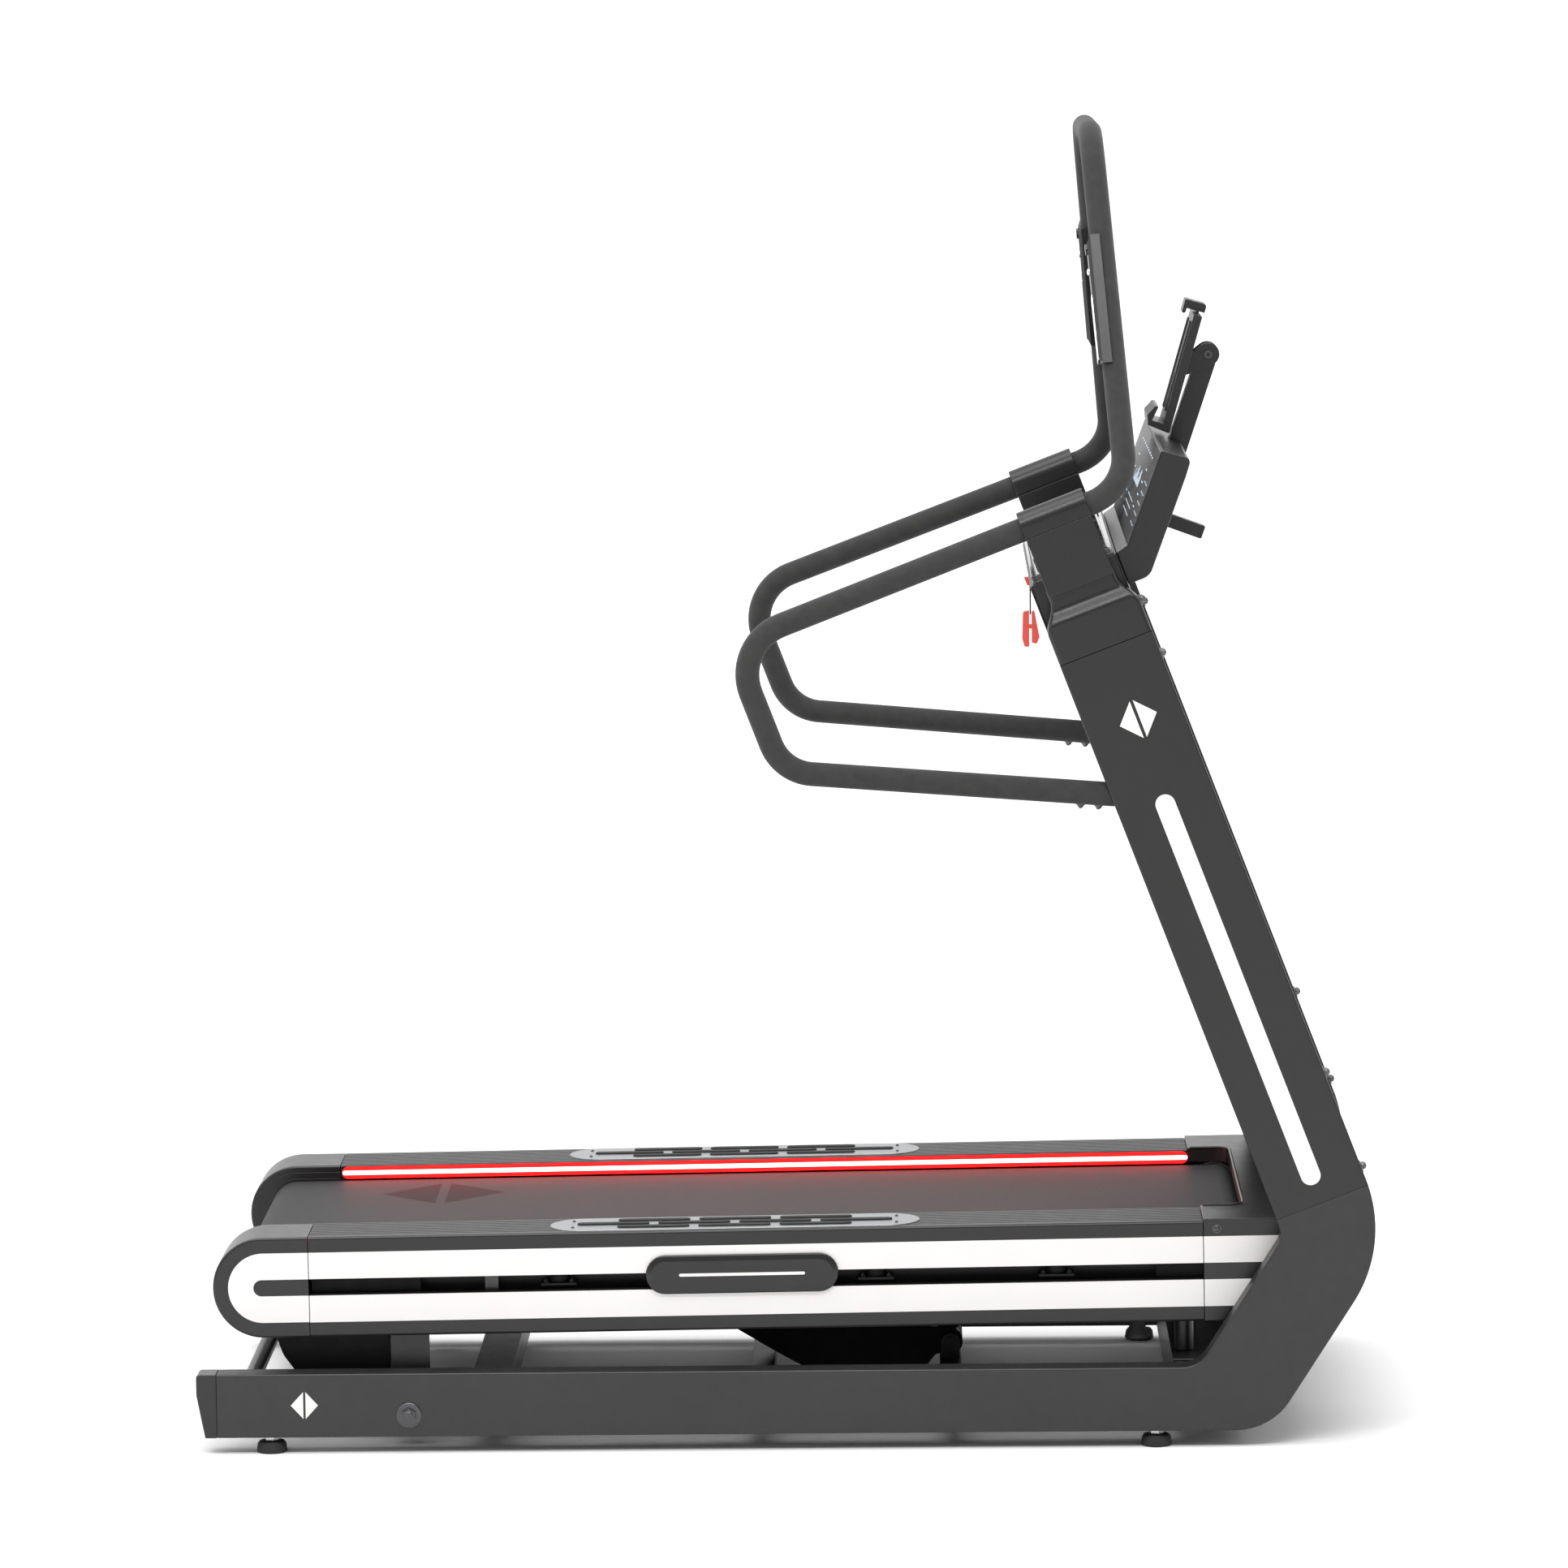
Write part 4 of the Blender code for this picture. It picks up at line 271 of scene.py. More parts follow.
def brushed(name, colour, roughness, along, rough_spread=0.08, strength=0.25):
    """Metal with fine lines along one axis."""
    made = new_material(name, colour, roughness, 1.0)
    tree = made.node_tree
    stretch = tuple(6.0 if axis == along else 900.0 for axis in "XYZ")
    lines = noise(tree, place_on(tree, stretch), 1.0, 2.0)
    rough = ranged(tree, lines, roughness - rough_spread, roughness + rough_spread)
    tone = noise(tree, place_on(tree), 14.0)
    dark = tuple(c * 0.9 for c in colour)
    surface(made, Base_Color=mixed(tree, tone, dark, colour), Roughness=rough)
    bumped(made, lines, strength, 0.00005)
    return made


def foam():
    """Closed-cell grip foam: matt, softly mottled, with pores."""
    made = new_material("grip_foam", (0.025, 0.025, 0.025), 0.86, Sheen_Weight=0.12, Sheen_Roughness=0.5)
    tree = made.node_tree
    place = place_on(tree)
    tone = ranged(tree, noise(tree, place, 60.0, 5.0), 0.0, 1.0)
    surface(made, Base_Color=mixed(tree, tone, (0.021, 0.021, 0.021), (0.030, 0.030, 0.029)))
    height = sums(tree, "ADD", cells(tree, place, 900.0), noise(tree, place, 260.0))
    bumped(made, height, 0.5, 0.0003)
    return made


def leather_grain(name, colour, roughness, **sockets):
    """Moulded plastic with a fine cell grain."""
    made = coated(name, colour, roughness, spread=0.10, **sockets)
    tree = made.node_tree
    bumped(made, cells(tree, place_on(tree), 1400.0), 0.22, 0.0002)
    return made


def weave():
    """Running belt: slanting ribs crossed by a fine thread, with a darker print near the rear."""
    made = new_material("belt_pvc", (0.05, 0.05, 0.052), 0.62, Specular_IOR_Level=0.2)
    tree = made.node_tree
    pitch = 0.0024
    slant = math.radians(58)

    def bands(turn, period):
        wave = tree.nodes.new("ShaderNodeTexWave")
        wave.wave_type = "BANDS"
        scale = 2 * math.pi / 20 / period
        fill(tree, wave, Scale=scale, Distortion=0.0, Vector=place_on(tree, turn=(0, 0, turn)))
        return wave.outputs["Fac"]

    ribs = bands(slant, pitch)
    threads = bands(slant + math.pi / 2, pitch / 2.2)
    height = sums(tree, "ADD", ribs, sums(tree, "MULTIPLY", threads, 0.45))
    tone = ranged(tree, noise(tree, place_on(tree), 6.0), 0.0, 1.0)
    ground = mixed(tree, tone, (0.023, 0.023, 0.024), (0.030, 0.030, 0.031))
    cloth = mixed(tree, ranged(tree, ribs, 0.0, 1.0, 0.0, 1.0), ground, (0.054, 0.054, 0.056))
    surface(made, Base_Color=mixed(tree, lozenge(tree), cloth, (0.008, 0.008, 0.0085)),
            Roughness=ranged(tree, ribs, 0.72, 0.5, 0.0, 1.0))
    bumped(made, height, 0.6, 0.0004)
    return made


def lozenge(tree):
    """A mask of a plain lozenge, split down the middle, printed on the belt near the rear."""
    parts = fill(tree, tree.nodes.new("ShaderNodeSeparateXYZ"), Vector=place_on(tree))
    along = sums(tree, "ABSOLUTE", sums(tree, "ADD", parts.outputs["X"], 0.53), 0.0)
    aside = sums(tree, "ABSOLUTE", sums(tree, "ADD", parts.outputs["Y"], -0.12), 0.0)
    within = sums(tree, "LESS_THAN", sums(tree, "ADD", along, aside), 0.095)
    return sums(tree, "MULTIPLY", within, sums(tree, "GREATER_THAN", along, 0.007))


def wood():
    made = new_material("deck_wood", (0.25, 0.16, 0.09), 0.6)
    tree = made.node_tree
    fibres = noise(tree, place_on(tree, (3, 40, 160)), 6.0, 6.0)
    colour = mixed(tree, ranged(tree, fibres, 0.0, 1.0), (0.16, 0.095, 0.05), (0.31, 0.2, 0.115))
    surface(made, Base_Color=colour)
    bumped(made, fibres, 0.3, 0.0002)
    return made


def glowing(name, colour, strength, cells):
    """A lit diffuser, a little brighter over each light inside it."""
    made = new_material(name, colour, 0.35, Emission_Color=(*colour, 1), Emission_Strength=strength)
    tree = made.node_tree
    place = place_on(tree, (cells, 1, 1))
    glow = ranged(tree, noise(tree, place, 1.0, 1.0), 0.0, 1.0)
    dim = tuple(c * 0.88 for c in colour)
    surface(made, Emission_Color=mixed(tree, glow, dim, colour))
    bumped(made, noise(tree, place_on(tree), 500.0), 0.15, 0.0001)
    return made


LOOKS = {
    "frame_paint": coated("frame_paint", (0.0112, 0.0108, 0.0104), 0.36, grain=1100.0, spread=0.06,
                          strength=0.15, rough_spread=0.02),
    "moulded_plastic": leather_grain("moulded_plastic", (0.0095, 0.0095, 0.0100), 0.30, rough_spread=0.02),
    "console_gloss": coated("console_gloss", (0.010, 0.010, 0.012), 0.10, grain=60.0, depth=0.0001,
                            strength=0.05, rough_spread=0.03, Coat_Weight=0.6, Coat_Roughness=0.04),
    "grip_foam": foam(),
    "bare_steel": brushed("bare_steel", (0.55, 0.55, 0.56), 0.30, "Y"),
    "chrome": brushed("chrome", (0.80, 0.80, 0.82), 0.13, "Z", 0.05, 0.05),
    "motor_paint": coated("motor_paint", (0.03, 0.03, 0.033), 0.32, Coat_Weight=0.3),
    "belt_pvc": weave(),
    "black_rubber": coated("black_rubber", (0.015, 0.015, 0.015), 0.72, grain=420.0, strength=0.5),
    "deck_wood": wood(),
    "safety_red": coated("safety_red", (0.80, 0.075, 0.050), 0.40, spread=0.06, Coat_Weight=0.2),
    "white_band": coated("white_band", (0.79, 0.77, 0.76), 0.34, spread=0.012, grain=240.0, strength=0.08,
                         Coat_Weight=0.25),
    "silver_pad": brushed("silver_pad", (0.42, 0.43, 0.44), 0.38, "X"),
    "led_strip": glowing("led_red", (1.0, 0.003, 0.003), 7.0, 60.0),
}
LED_CORE = glowing("led_core", (1.0, 0.96, 0.93), 2.2, 60.0)
DARK_METAL = coated("dark_metal", (0.10, 0.10, 0.105), 0.34, 1.0, spread=0.3, grain=300.0, strength=0.4)
SILVER_PAINT = coated("pulse_plate", (0.74, 0.74, 0.75), 0.25, 1.0, spread=0.05, strength=0.05)
MARKS = glowing("display_marks", (0.62, 0.72, 0.82), 0.38, 30.0)
# A lighter copy of the frame paint for the side frames: painted light on the rails.
RAIL_LIT_PAINT = coated("rail_painted_light", (0.0195, 0.0192, 0.0190), 0.40, grain=1100.0, spread=0.06,
                    strength=0.15)
# Near black for parts in the slot and under the deck: painted shade, darker than their own paint.
PAINTED_SHADE = coated("painted_shade_black", (0.0030, 0.0030, 0.0032), 0.45, spread=0.2, Specular_IOR_Level=0.15)


# Shapes


def up(along, across, y=0.0):
    """A point in the uprights' own directions."""
    return FOOT_OF_UPRIGHT + UP * along + ACROSS * across + Vector((0, y, 0))


def up_corner(along, across):
    """A square corner of an outline, in the uprights' own directions."""
    point = up(along, across)
    return (point.x, point.z, 0)


def up_slab(along, across):
    """The outline of a block square to the uprights, from (low, high) pairs up them and across them."""
    corners = ((along[0], across[0]), (along[0], across[1]), (along[1], across[1]), (along[1], across[0]))
    return rounded([up_corner(a, c) for a, c in corners])


def span(side, inner, outer):
    """Two distances from the middle of the machine as low and high Y on one side of it."""
    return (-outer, -inner) if side < 0 else (inner, outer)


def meet(point, direction, other, other_direction):
    """Where two lines cross."""
    cross = direction[0] * other_direction[1] - direction[1] * other_direction[0]
    away = (other[0] - point[0], other[1] - point[1])
    along = (away[0] * other_direction[1] - away[1] * other_direction[0]) / cross
    return (point[0] + direction[0] * along, point[1] + direction[1] * along)


def bend(previous, corner, following, radius, steps):
    """The points of a round corner."""
    back = (previous - corner).normalized()
    ahead = (following - corner).normalized()
    half = back.angle(ahead) / 2
    centre = corner + (back + ahead).normalized() * (radius / math.sin(half))
    start = corner + back * (radius / math.tan(half)) - centre
    end = corner + ahead * (radius / math.tan(half)) - centre
    normal = start.cross(end).normalized()
    turn = math.pi - 2 * half
    return [centre + Matrix.Rotation(turn * i / steps, 3, normal) @ start for i in range(steps + 1)]


def rounded(corners, steps=6):
    """A closed outline from (u, v, radius) corners."""
    points = []
    for i, (u, v, radius) in enumerate(corners):
        corner = Vector((u, v, 0))
        if radius <= 0:
            points.append(corner)
            continue
        before = Vector((*corners[i - 1][:2], 0))
        after = Vector((*corners[(i + 1) % len(corners)][:2], 0))
        points += bend(before, corner, after, radius, steps)
    return [(p.x, p.y) for p in points]


def smooth_path(corners, steps=14):
    """An open path through (point, radius) corners."""
    points = [corners[0][0]]
    for i in range(1, len(corners) - 1):
        corner, radius = corners[i]
        points += bend(corners[i - 1][0], corner, corners[i + 1][0], radius, steps)
    return points + [corners[-1][0]]


def arc(centre, radius, start, end, steps):
    turns = [start + (end - start) * i / steps for i in range(steps + 1)]
    return [(centre[0] + radius * math.cos(t), centre[1] + radius * math.sin(t)) for t in turns]


def pill(low, high, radius, steps=10):
    """A flat outline with round ends, from the centre of one end to the centre of the other."""
    tilt = math.atan2(high[1] - low[1], high[0] - low[0])
    quarter = math.pi / 2
    return (arc(high, radius, tilt - quarter, tilt + quarter, steps)
            + arc(low, radius, tilt + quarter, tilt + 3 * quarter, steps))


def lofted(loops, ring=False):
    """A closed shape through loops of equal counts of points, or a ring of them."""
    work = bmesh.new()
    rows = [[work.verts.new(point) for point in loop] for loop in loops]
    if ring:
        rows.append(rows[0])
    for low, high in zip(rows, rows[1:]):
        for i in range(len(low)):
            j = (i + 1) % len(low)
            work.faces.new((low[i], low[j], high[j], high[i]))
    if not ring:
        work.faces.new(list(reversed(rows[0])))
        work.faces.new(rows[-1])
    bmesh.ops.recalc_face_normals(work, faces=work.faces)
    return work


ORDER = {
    "XZ": lambda u, v, w: (u, w, v),
    "YZ": lambda u, v, w: (w, u, v),
    "XY": lambda u, v, w: (u, v, w),
}


def prism(outline, low, high, plane="XZ"):
    return lofted([[ORDER[plane](u, v, w) for u, v in outline] for w in (low, high)])


def box_at(centre, size):
    low = [c - s / 2 for c, s in zip(centre, size)]
    high = [c + s / 2 for c, s in zip(centre, size)]
    return prism(slab(low[0], high[0], low[1], high[1]), low[2], high[2], "XY")


def slab(low_u, high_u, low_v, high_v):
    return [(low_u, low_v), (high_u, low_v), (high_u, high_v), (low_u, high_v)]


AXIS = 0.0001


def closed(profile):
    """A turned profile with its two ends brought in to the axis."""
    return [(AXIS, profile[0][1])] + profile + [(AXIS, profile[-1][1])]


def circle(centre, side, other, radius, steps):
    turns = [2 * math.pi * i / steps for i in range(steps)]
    return [centre + (side * math.cos(t) + other * math.sin(t)) * radius for t in turns]


def turned(profile, start, axis, steps=28, ring=False):
    """A turned shape from (radius, distance along the axis) points: a ring, or closed at both ends."""
    axis = Vector(axis).normalized()
    side = axis.orthogonal().normalized()
    other = axis.cross(side)
    return lofted([circle(Vector(start) + axis * height, side, other, radius, steps)
                   for radius, height in profile], ring)


def tube(points, radius, sides=24):
    """A round bar along a polyline, its rings kept square to the path."""
    points = [Vector(point) for point in points]
    loops = []
    normal = None
    for i, point in enumerate(points):
        ahead = (points[min(i + 1, len(points) - 1)] - points[max(i - 1, 0)]).normalized()
        normal = ahead.orthogonal() if normal is None else normal - ahead * normal.dot(ahead)
        normal.normalize()
        loops.append(circle(point, normal, ahead.cross(normal), radius, sides))
    return lofted(loops)


def merged(*works):
    """Several closed shapes as one mesh."""
    total = bmesh.new()
    for work in works:
        mesh = bpy.data.meshes.new("part")
        work.to_mesh(mesh)
        work.free()
        total.from_mesh(mesh)
        bpy.data.meshes.remove(mesh)
    return total


# Pieces


def piece(name, work, slot, body="base", replaces=(), bevel=0.0, segments=2, level=False, material=None,
          angle=35):
    """Makes a piece from a bmesh, rides it on its body and gives it its finish."""
    mesh = bpy.data.meshes.new(name)
    work.to_mesh(mesh)
    work.free()
    if level:
        mesh.transform(DECK)
    mesh.shade_smooth()
    mesh.set_sharp_from_angle(angle=math.radians(angle))
    mesh.materials.append(material or LOOKS[slot])
    obj = link(bpy.data.objects.new(name, mesh))
    if bevel:
        edge = obj.modifiers.new("Edges", "BEVEL")
        edge.width = bevel
        edge.segments = segments
        edge.limit_method = "ANGLE"
        edge.angle_limit = math.radians(angle)
        edge.miter_outer = "MITER_ARC"
    weights = obj.modifiers.new("Normals", "WEIGHTED_NORMAL")
    weights.keep_sharp = True
    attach(obj, body)
    if replaces:
        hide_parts(*replaces)
    return obj


def on_deck(name, work, slot, **options):
    """A detail of the running deck, modelled level."""
    return piece(name, work, slot, "deck", level=True, **options)


def stand_in(node, work, slot, **options):
    """A piece in place of a node, on the node's own body."""
    return piece(node + "_body", work, slot, BODY_OF[node], (node,), **options)


def dress(node, slot, bevel=0.001, segments=2, material=None):
    """A node's own shape with its edges softened, in place of the node."""
    work = bmesh.new()
    work.from_mesh(NODES[node].data)
    bmesh.ops.remove_doubles(work, verts=work.verts, dist=5e-6)
    bmesh.ops.dissolve_limit(work, angle_limit=math.radians(0.8), verts=work.verts, edges=work.edges)
    return stand_in(node, work, slot, bevel=bevel, segments=segments, material=material)


def bolt(place, axis, size=0.006, head=0.005):
    """A hexagon head on a washer, pointing along axis."""
    washer = [(size * 1.55, -0.001), (size * 1.6, 0.0), (size * 1.5, 0.0014)]
    hexagon = [(size * 1.12, 0.001), (size * 1.12, head * 0.8), (size * 0.95, head)]
    top = [(size * 0.62, head - 0.001), (size * 0.62, head + 0.0012), (size * 0.45, head + 0.0018)]
    shapes = ((washer, 24), (hexagon, 6), (top, 16))
    return merged(*(turned(closed(profile), place, axis, steps) for profile, steps in shapes))


def screw(place, axis, radius=0.004):
    """A small dished screw head with a cross in it."""
    head = turned([(AXIS, -0.0005), (radius, -0.0005), (radius, 0.0006), (radius * 0.75, 0.0014),
                   (AXIS, 0.0017)], place, axis, 20)
    axis = Vector(axis).normalized()
    side = axis.orthogonal().normalized()
    centre = Vector(place) + axis * 0.0017
    bars = []
    for direction in (side, axis.cross(side)):
        half = direction * radius * 0.55
        bars.append(tube([centre - half, centre + half], 0.0003, 6))
    return merged(head, *bars)


# Tether: the cord hangs straight down from the key into the clip


CORD_TOP = Vector((0.372379, 0.0, 1.2245))
CORD_LENGTH = 0.044
CORD_RADIUS = 0.0011
CORD_POINTS = 17
SPRING_DROP = 0.0615
SPRING_TURNS = 4
SPRING_STEPS = 48
SPRING_RADIUS = 0.0024
SPRING_HALF = 0.0068


def make_tether():
    dress("safety_key", "safety_red", 0.0012, 3)
    clip = dress("safety_clip", "safety_red", 0.0010, 3)
    data = bpy.data.curves.new("tether_cord", "CURVE")
    data.dimensions = "3D"
    data.bevel_depth = CORD_RADIUS
    data.bevel_resolution = 4
    data.use_fill_caps = True
    spline = data.splines.new("POLY")
    spline.points.add(CORD_POINTS - 1)
    for i, point in enumerate(spline.points):
        point.co = (*(CORD_TOP - Vector((0, 0, CORD_LENGTH * i / (CORD_POINTS - 1)))), 1)
    data.materials.append(coated("tether_braid", (0.03, 0.026, 0.026), 0.7, grain=1500.0, strength=0.6))
    cord = link(bpy.data.objects.new("tether_cord", data))
    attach(cord, "safety_tether")
    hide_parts("safety_cord")
    pin = CORD_TOP - Vector((0, SPRING_HALF, SPRING_DROP))
    spring = []
    for i in range(SPRING_STEPS + 1):
        share = i / SPRING_STEPS
        t = share * 2 * math.pi * SPRING_TURNS
        coil = (SPRING_RADIUS * math.cos(t), 2 * SPRING_HALF * share, SPRING_RADIUS * math.sin(t))
        spring.append(pin + Vector(coil))
    piece("tether_spring", tube(spring, 0.0005, 8), "bare_steel", "safety_tether")


make_tether()


# Base frame


def side_frame_outline():
    """The rail, the elbow and the knee up to the joint with the upright."""
    elbow = (math.cos(ELBOW_ANGLE), math.sin(ELBOW_ANGLE))
    upright = (-math.sin(LEAN), math.cos(LEAN))
    normal = (-elbow[1], elbow[0])
    floor = (REAR + END_CAP_LENGTH, RAIL_BOTTOM)
    top = (floor[0], RAIL_TOP)
    heel = (FRONT - ELBOW_START, RAIL_BOTTOM)
    inner = (heel[0] + normal[0] * ELBOW_WIDTH, heel[1] + normal[1] * ELBOW_WIDTH)
    front = up_corner(-0.0001, UPRIGHT_WIDTH)[:2]
    rear = up_corner(-0.0001, 0)[:2]
    return trimmed(rounded([
        (*floor, 0),
        (*meet(floor, (1, 0), heel, elbow), HEEL_RADIUS),
        (*meet(heel, elbow, front, upright), KNEE_RADIUS),
        (*front, 0),
        (*rear, 0),
        (*meet(inner, elbow, rear, upright), CROOK_RADIUS),
        (*meet(top, (1, 0), inner, elbow), TOE_RADIUS),
        (*top, 0),
    ], 20))


def trimmed(points):
    """Leaves out the end of the knee's curve, where it runs on past the joint with the upright."""
    kept = []
    for u, v in points:
        away = Vector((u, 0, v)) - FOOT_OF_UPRIGHT
        if away.dot(ACROSS) < UPRIGHT_WIDTH / 2 or away.dot(UP) < -0.00005:
            kept.append((u, v))
    return kept


def inset(points, distance, square):
    """A counter-clockwise outline moved inwards, except along the edges that square() picks."""
    lines = []
    for p, q in zip(points, points[1:] + points[:1]):
        length = math.dist(p, q)
        along = ((q[0] - p[0]) / length, (q[1] - p[1]) / length)
        step = 0.0 if square(p, q) else distance
        lines.append(((p[0] - along[1] * step, p[1] + along[0] * step), along))
    shifted = []
    for (before, direction), (after, next_direction) in zip(lines[-1:] + lines[:-1], lines):
        turn = direction[0] * next_direction[1] - direction[1] * next_direction[0]
        shifted.append(after if abs(turn) < 1e-4 else meet(before, direction, after, next_direction))
    return shifted


def soft_prism(points, low, high, radius, square, steps=4):
    """A flat tube in the X-Z plane, rounded along both faces and left square at its open ends."""
    turns = [math.pi / 2 * i / steps for i in range(steps + 1)]
    rings = [(t, low, 1) for t in turns] + [(t, high, -1) for t in reversed(turns)]
    loops = []
    for t, face, sign in rings:
        y = face + sign * radius * (1 - math.cos(t))
        loops.append([(u, y, v) for u, v in inset(points, radius * (1 - math.sin(t)), square)])
    return lofted(loops)


def across_tube(p, q):
    """Whether an edge closes the frame's tube: its rear end, or a joint square to the uprights."""
    edge = Vector((q[0] - p[0], 0, q[1] - p[1])).normalized()
    rear_end = max(p[0], q[0]) < REAR + END_CAP_LENGTH + 0.001
    return rear_end or abs(edge.dot(UP)) < 1e-3


def make_base():
    for label, side in SIDES:
        y = span(side, FRAME_INNER, FRAME_OUTER)
        work = soft_prism(side_frame_outline(), *y, TUBE_EDGE, across_tube)
        # The side frames get the lighter copy of the frame paint: painted light.
        stand_in("side_frame_" + label, work, "frame_paint", material=RAIL_LIT_PAINT)
        dress("rail_end_cap_" + label, "moulded_plastic", 0.0016, 3)
        outline = up_slab((0.0003, UPRIGHT_LENGTH - 0.0006), (0, UPRIGHT_WIDTH))
        work = soft_prism(outline, *y, TUBE_EDGE, across_tube)
        stand_in("upright_" + label, work, "frame_paint")
        make_pivot_bolt(label, side)
    for node in ("rear_cross_tube", "cross_beam_rear", "cross_beam_middle", "cross_beam_front"):
        dress(node, "frame_paint", 0.0008)
    dress("front_floor_pan", "frame_paint", 0.0012)
    dress("front_cross_panel", "frame_paint", 0.0008)
    make_feet()
    make_stripes()
    make_upright_bolts()


def make_pivot_bolt(label, side):
    """The deck's pivot bolt: a dark washer, a hexagon head and the bolt's end."""
    dress("deck_pivot_bolt_" + label, "bare_steel", 0.0007, 2, DARK_METAL)
    axis = Vector((0, side, 0))
    centre = Vector((PIVOT.x, side * (FRAME_OUTER + 0.0008), PIVOT.z))
    ring = turned([(0.0155, 0.0), (0.0185, 0.0), (0.0185, 0.0018), (0.0175, 0.0026), (0.0155, 0.0026)],
                  centre - axis * 0.0006, axis, 40, True)
    tip = turned(closed([(0.0072, 0.006), (0.0072, 0.0090), (0.0062, 0.0098)]), centre, axis, 24)
    piece("pivot_washer_" + label, merged(ring, tip), "bare_steel", "base", material=DARK_METAL)


def make_feet():
    for end in ("rear", "front"):
        for label, _ in SIDES:
            node = "foot_" + end + "_" + label
            low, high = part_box(node)
            centre = Vector(((low.x + high.x) / 2, (low.y + high.y) / 2, 0))
            radius = (high.x - low.x) / 2
            pad = [(radius - 0.0016, 0.0), (radius, 0.0018), (radius - 0.0006, 0.006),
                   (radius - 0.0014, 0.0125), (radius - 0.004, 0.016), (0.0095, 0.0172)]
            work = turned(closed(pad), centre, (0, 0, 1), 40)
            piece(node + "_pad", work, "black_rubber", node, (node,))
            nut = [(0.0108, 0.0172), (0.0112, 0.0180), (0.0112, 0.0225), (0.0104, 0.0233)]
            nut = turned(closed(nut), centre, (0, 0, 1), 6)
            stud = turned([(AXIS, 0.016), (0.005, 0.016), (0.005, RAIL_BOTTOM + 0.028),
                           (AXIS, RAIL_BOTTOM + 0.029)], centre, (0, 0, 1), 18)
            piece(node + "_nut", merged(nut, stud), "bare_steel", node, bevel=0.0003)


STRIPE_ENDS = ((0.766, 0.400), (0.5584, 0.944))
STRIPE_RADIUS = 0.0145
UPRIGHT_EMBLEM = (0.520, 1.068)
RAIL_EMBLEM = (-0.702, 0.072)
UPRIGHT_BOLTS = (0.914, 0.831, 0.174, 0.026)


def make_stripes():
    """The white stripe and the plain emblems on the frame's outer faces."""
    for label, side in SIDES:
        y = span(side, FRAME_OUTER - 0.0004, FRAME_OUTER + 0.0003)
        stripe = pill(*STRIPE_ENDS, STRIPE_RADIUS, 16)
        piece("upright_stripe_" + label, prism(stripe, *y), "white_band", bevel=0.0001, segments=1)
        works = [prism(outline, *y) for outline in diamond(UPRIGHT_EMBLEM, 0.030, LEAN)]
        works += [prism(outline, *y) for outline in diamond(RAIL_EMBLEM, 0.021, 0.0)]
        piece("frame_emblems_" + label, merged(*works), "white_band")


def diamond(centre, size, lean):
    """A plain lozenge split down the middle."""
    cosine, sine = math.cos(lean) * size, math.sin(lean) * size
    made = []
    for sign in (-1, 1):
        local = [(sign * 0.08, -0.95), (sign * 0.95, 0), (sign * 0.08, 0.95)]
        made.append([(centre[0] + u * cosine - v * sine, centre[1] + u * sine + v * cosine)
                     for u, v in local])
    return made


def make_upright_bolts():
    for label, side in SIDES:
        works = []
        for along in UPRIGHT_BOLTS:
            works.append(bolt(up(along, UPRIGHT_WIDTH, side * TUBE_MIDDLE), ACROSS, 0.0058, 0.0062))
        piece("upright_bolts_" + label, merged(*works), "bare_steel", material=DARK_METAL, bevel=0.0002)


make_base()


# Heads, handles and the tall bar


FLARE_START = SHOULDER - 0.010
FLARE_STEPS = 30
NECK_INSET = BRACKET_INSET - 0.001
NECK_DEPTH = 0.0100


def head_loop(along, inset_across, inset_y, side):
    """A rounded section of the head, square to the uprights."""
    low, high = span(side, FRAME_INNER + inset_y, FRAME_OUTER - inset_y)
    outline = rounded([(*corner, 0.006) for corner in
                       slab(inset_across, UPRIGHT_WIDTH - inset_across, low, high)], 5)
    return [up(along, c, y) for c, y in outline]


def bracket(along, capped, side, grow=0.0):
    """The block that holds the grip tube, or with capped the half-round cap over it."""
    depth = (FRAME_OUTER - FRAME_INNER) / 2 + grow
    low, high = along
    if capped:
        outline = [(-depth, low), (depth, low)] + arc((0, high), depth, 0, math.pi, 20)
    else:
        outline = slab(-depth, depth, low, high)
    return lofted([[up(a, across, side * TUBE_MIDDLE + y) for y, a in outline]
                   for across in (BRACKET_INSET - grow, UPRIGHT_WIDTH - BRACKET_INSET + grow)])


def eased(share):
    """A smooth step from 0 to 1."""
    share = min(max(share, 0.0), 1.0)
    return share * share * (3 - 2 * share)


def make_heads():
    for label, side in SIDES:
        loops = [head_loop(UPRIGHT_LENGTH + 0.0006, 0.0003, 0.0003, side)]
        loops.append(head_loop(UPRIGHT_LENGTH + 0.0016, 0, 0, side))
        for i in range(FLARE_STEPS + 1):
            along = FLARE_START + (HEAD_TOP - SHOULDER + 0.004) * i / FLARE_STEPS
            across = eased((along - FLARE_START) / 0.046) * NECK_INSET
            depth = eased((along - SHOULDER - 0.002) / 0.022) * NECK_DEPTH
            loops.append(head_loop(along, across, depth, side))
        loops.append(head_loop(HEAD_TOP + 0.002, NECK_INSET, NECK_DEPTH, side))
        stand_in("upright_head_" + label, lofted(loops), "moulded_plastic", angle=50)
        block = bracket((HEAD_TOP - 0.0065, BRACKET_SEAM), False, side)
        piece("grip_bracket_" + label, block, "moulded_plastic", bevel=0.0014, segments=3)
        cap = bracket((BRACKET_SEAM + 0.0003, GRIP_ALONG + 0.0026), True, side, 0.0004)
        piece("grip_bracket_cap_" + label, cap, "moulded_plastic", bevel=0.0010, segments=3)


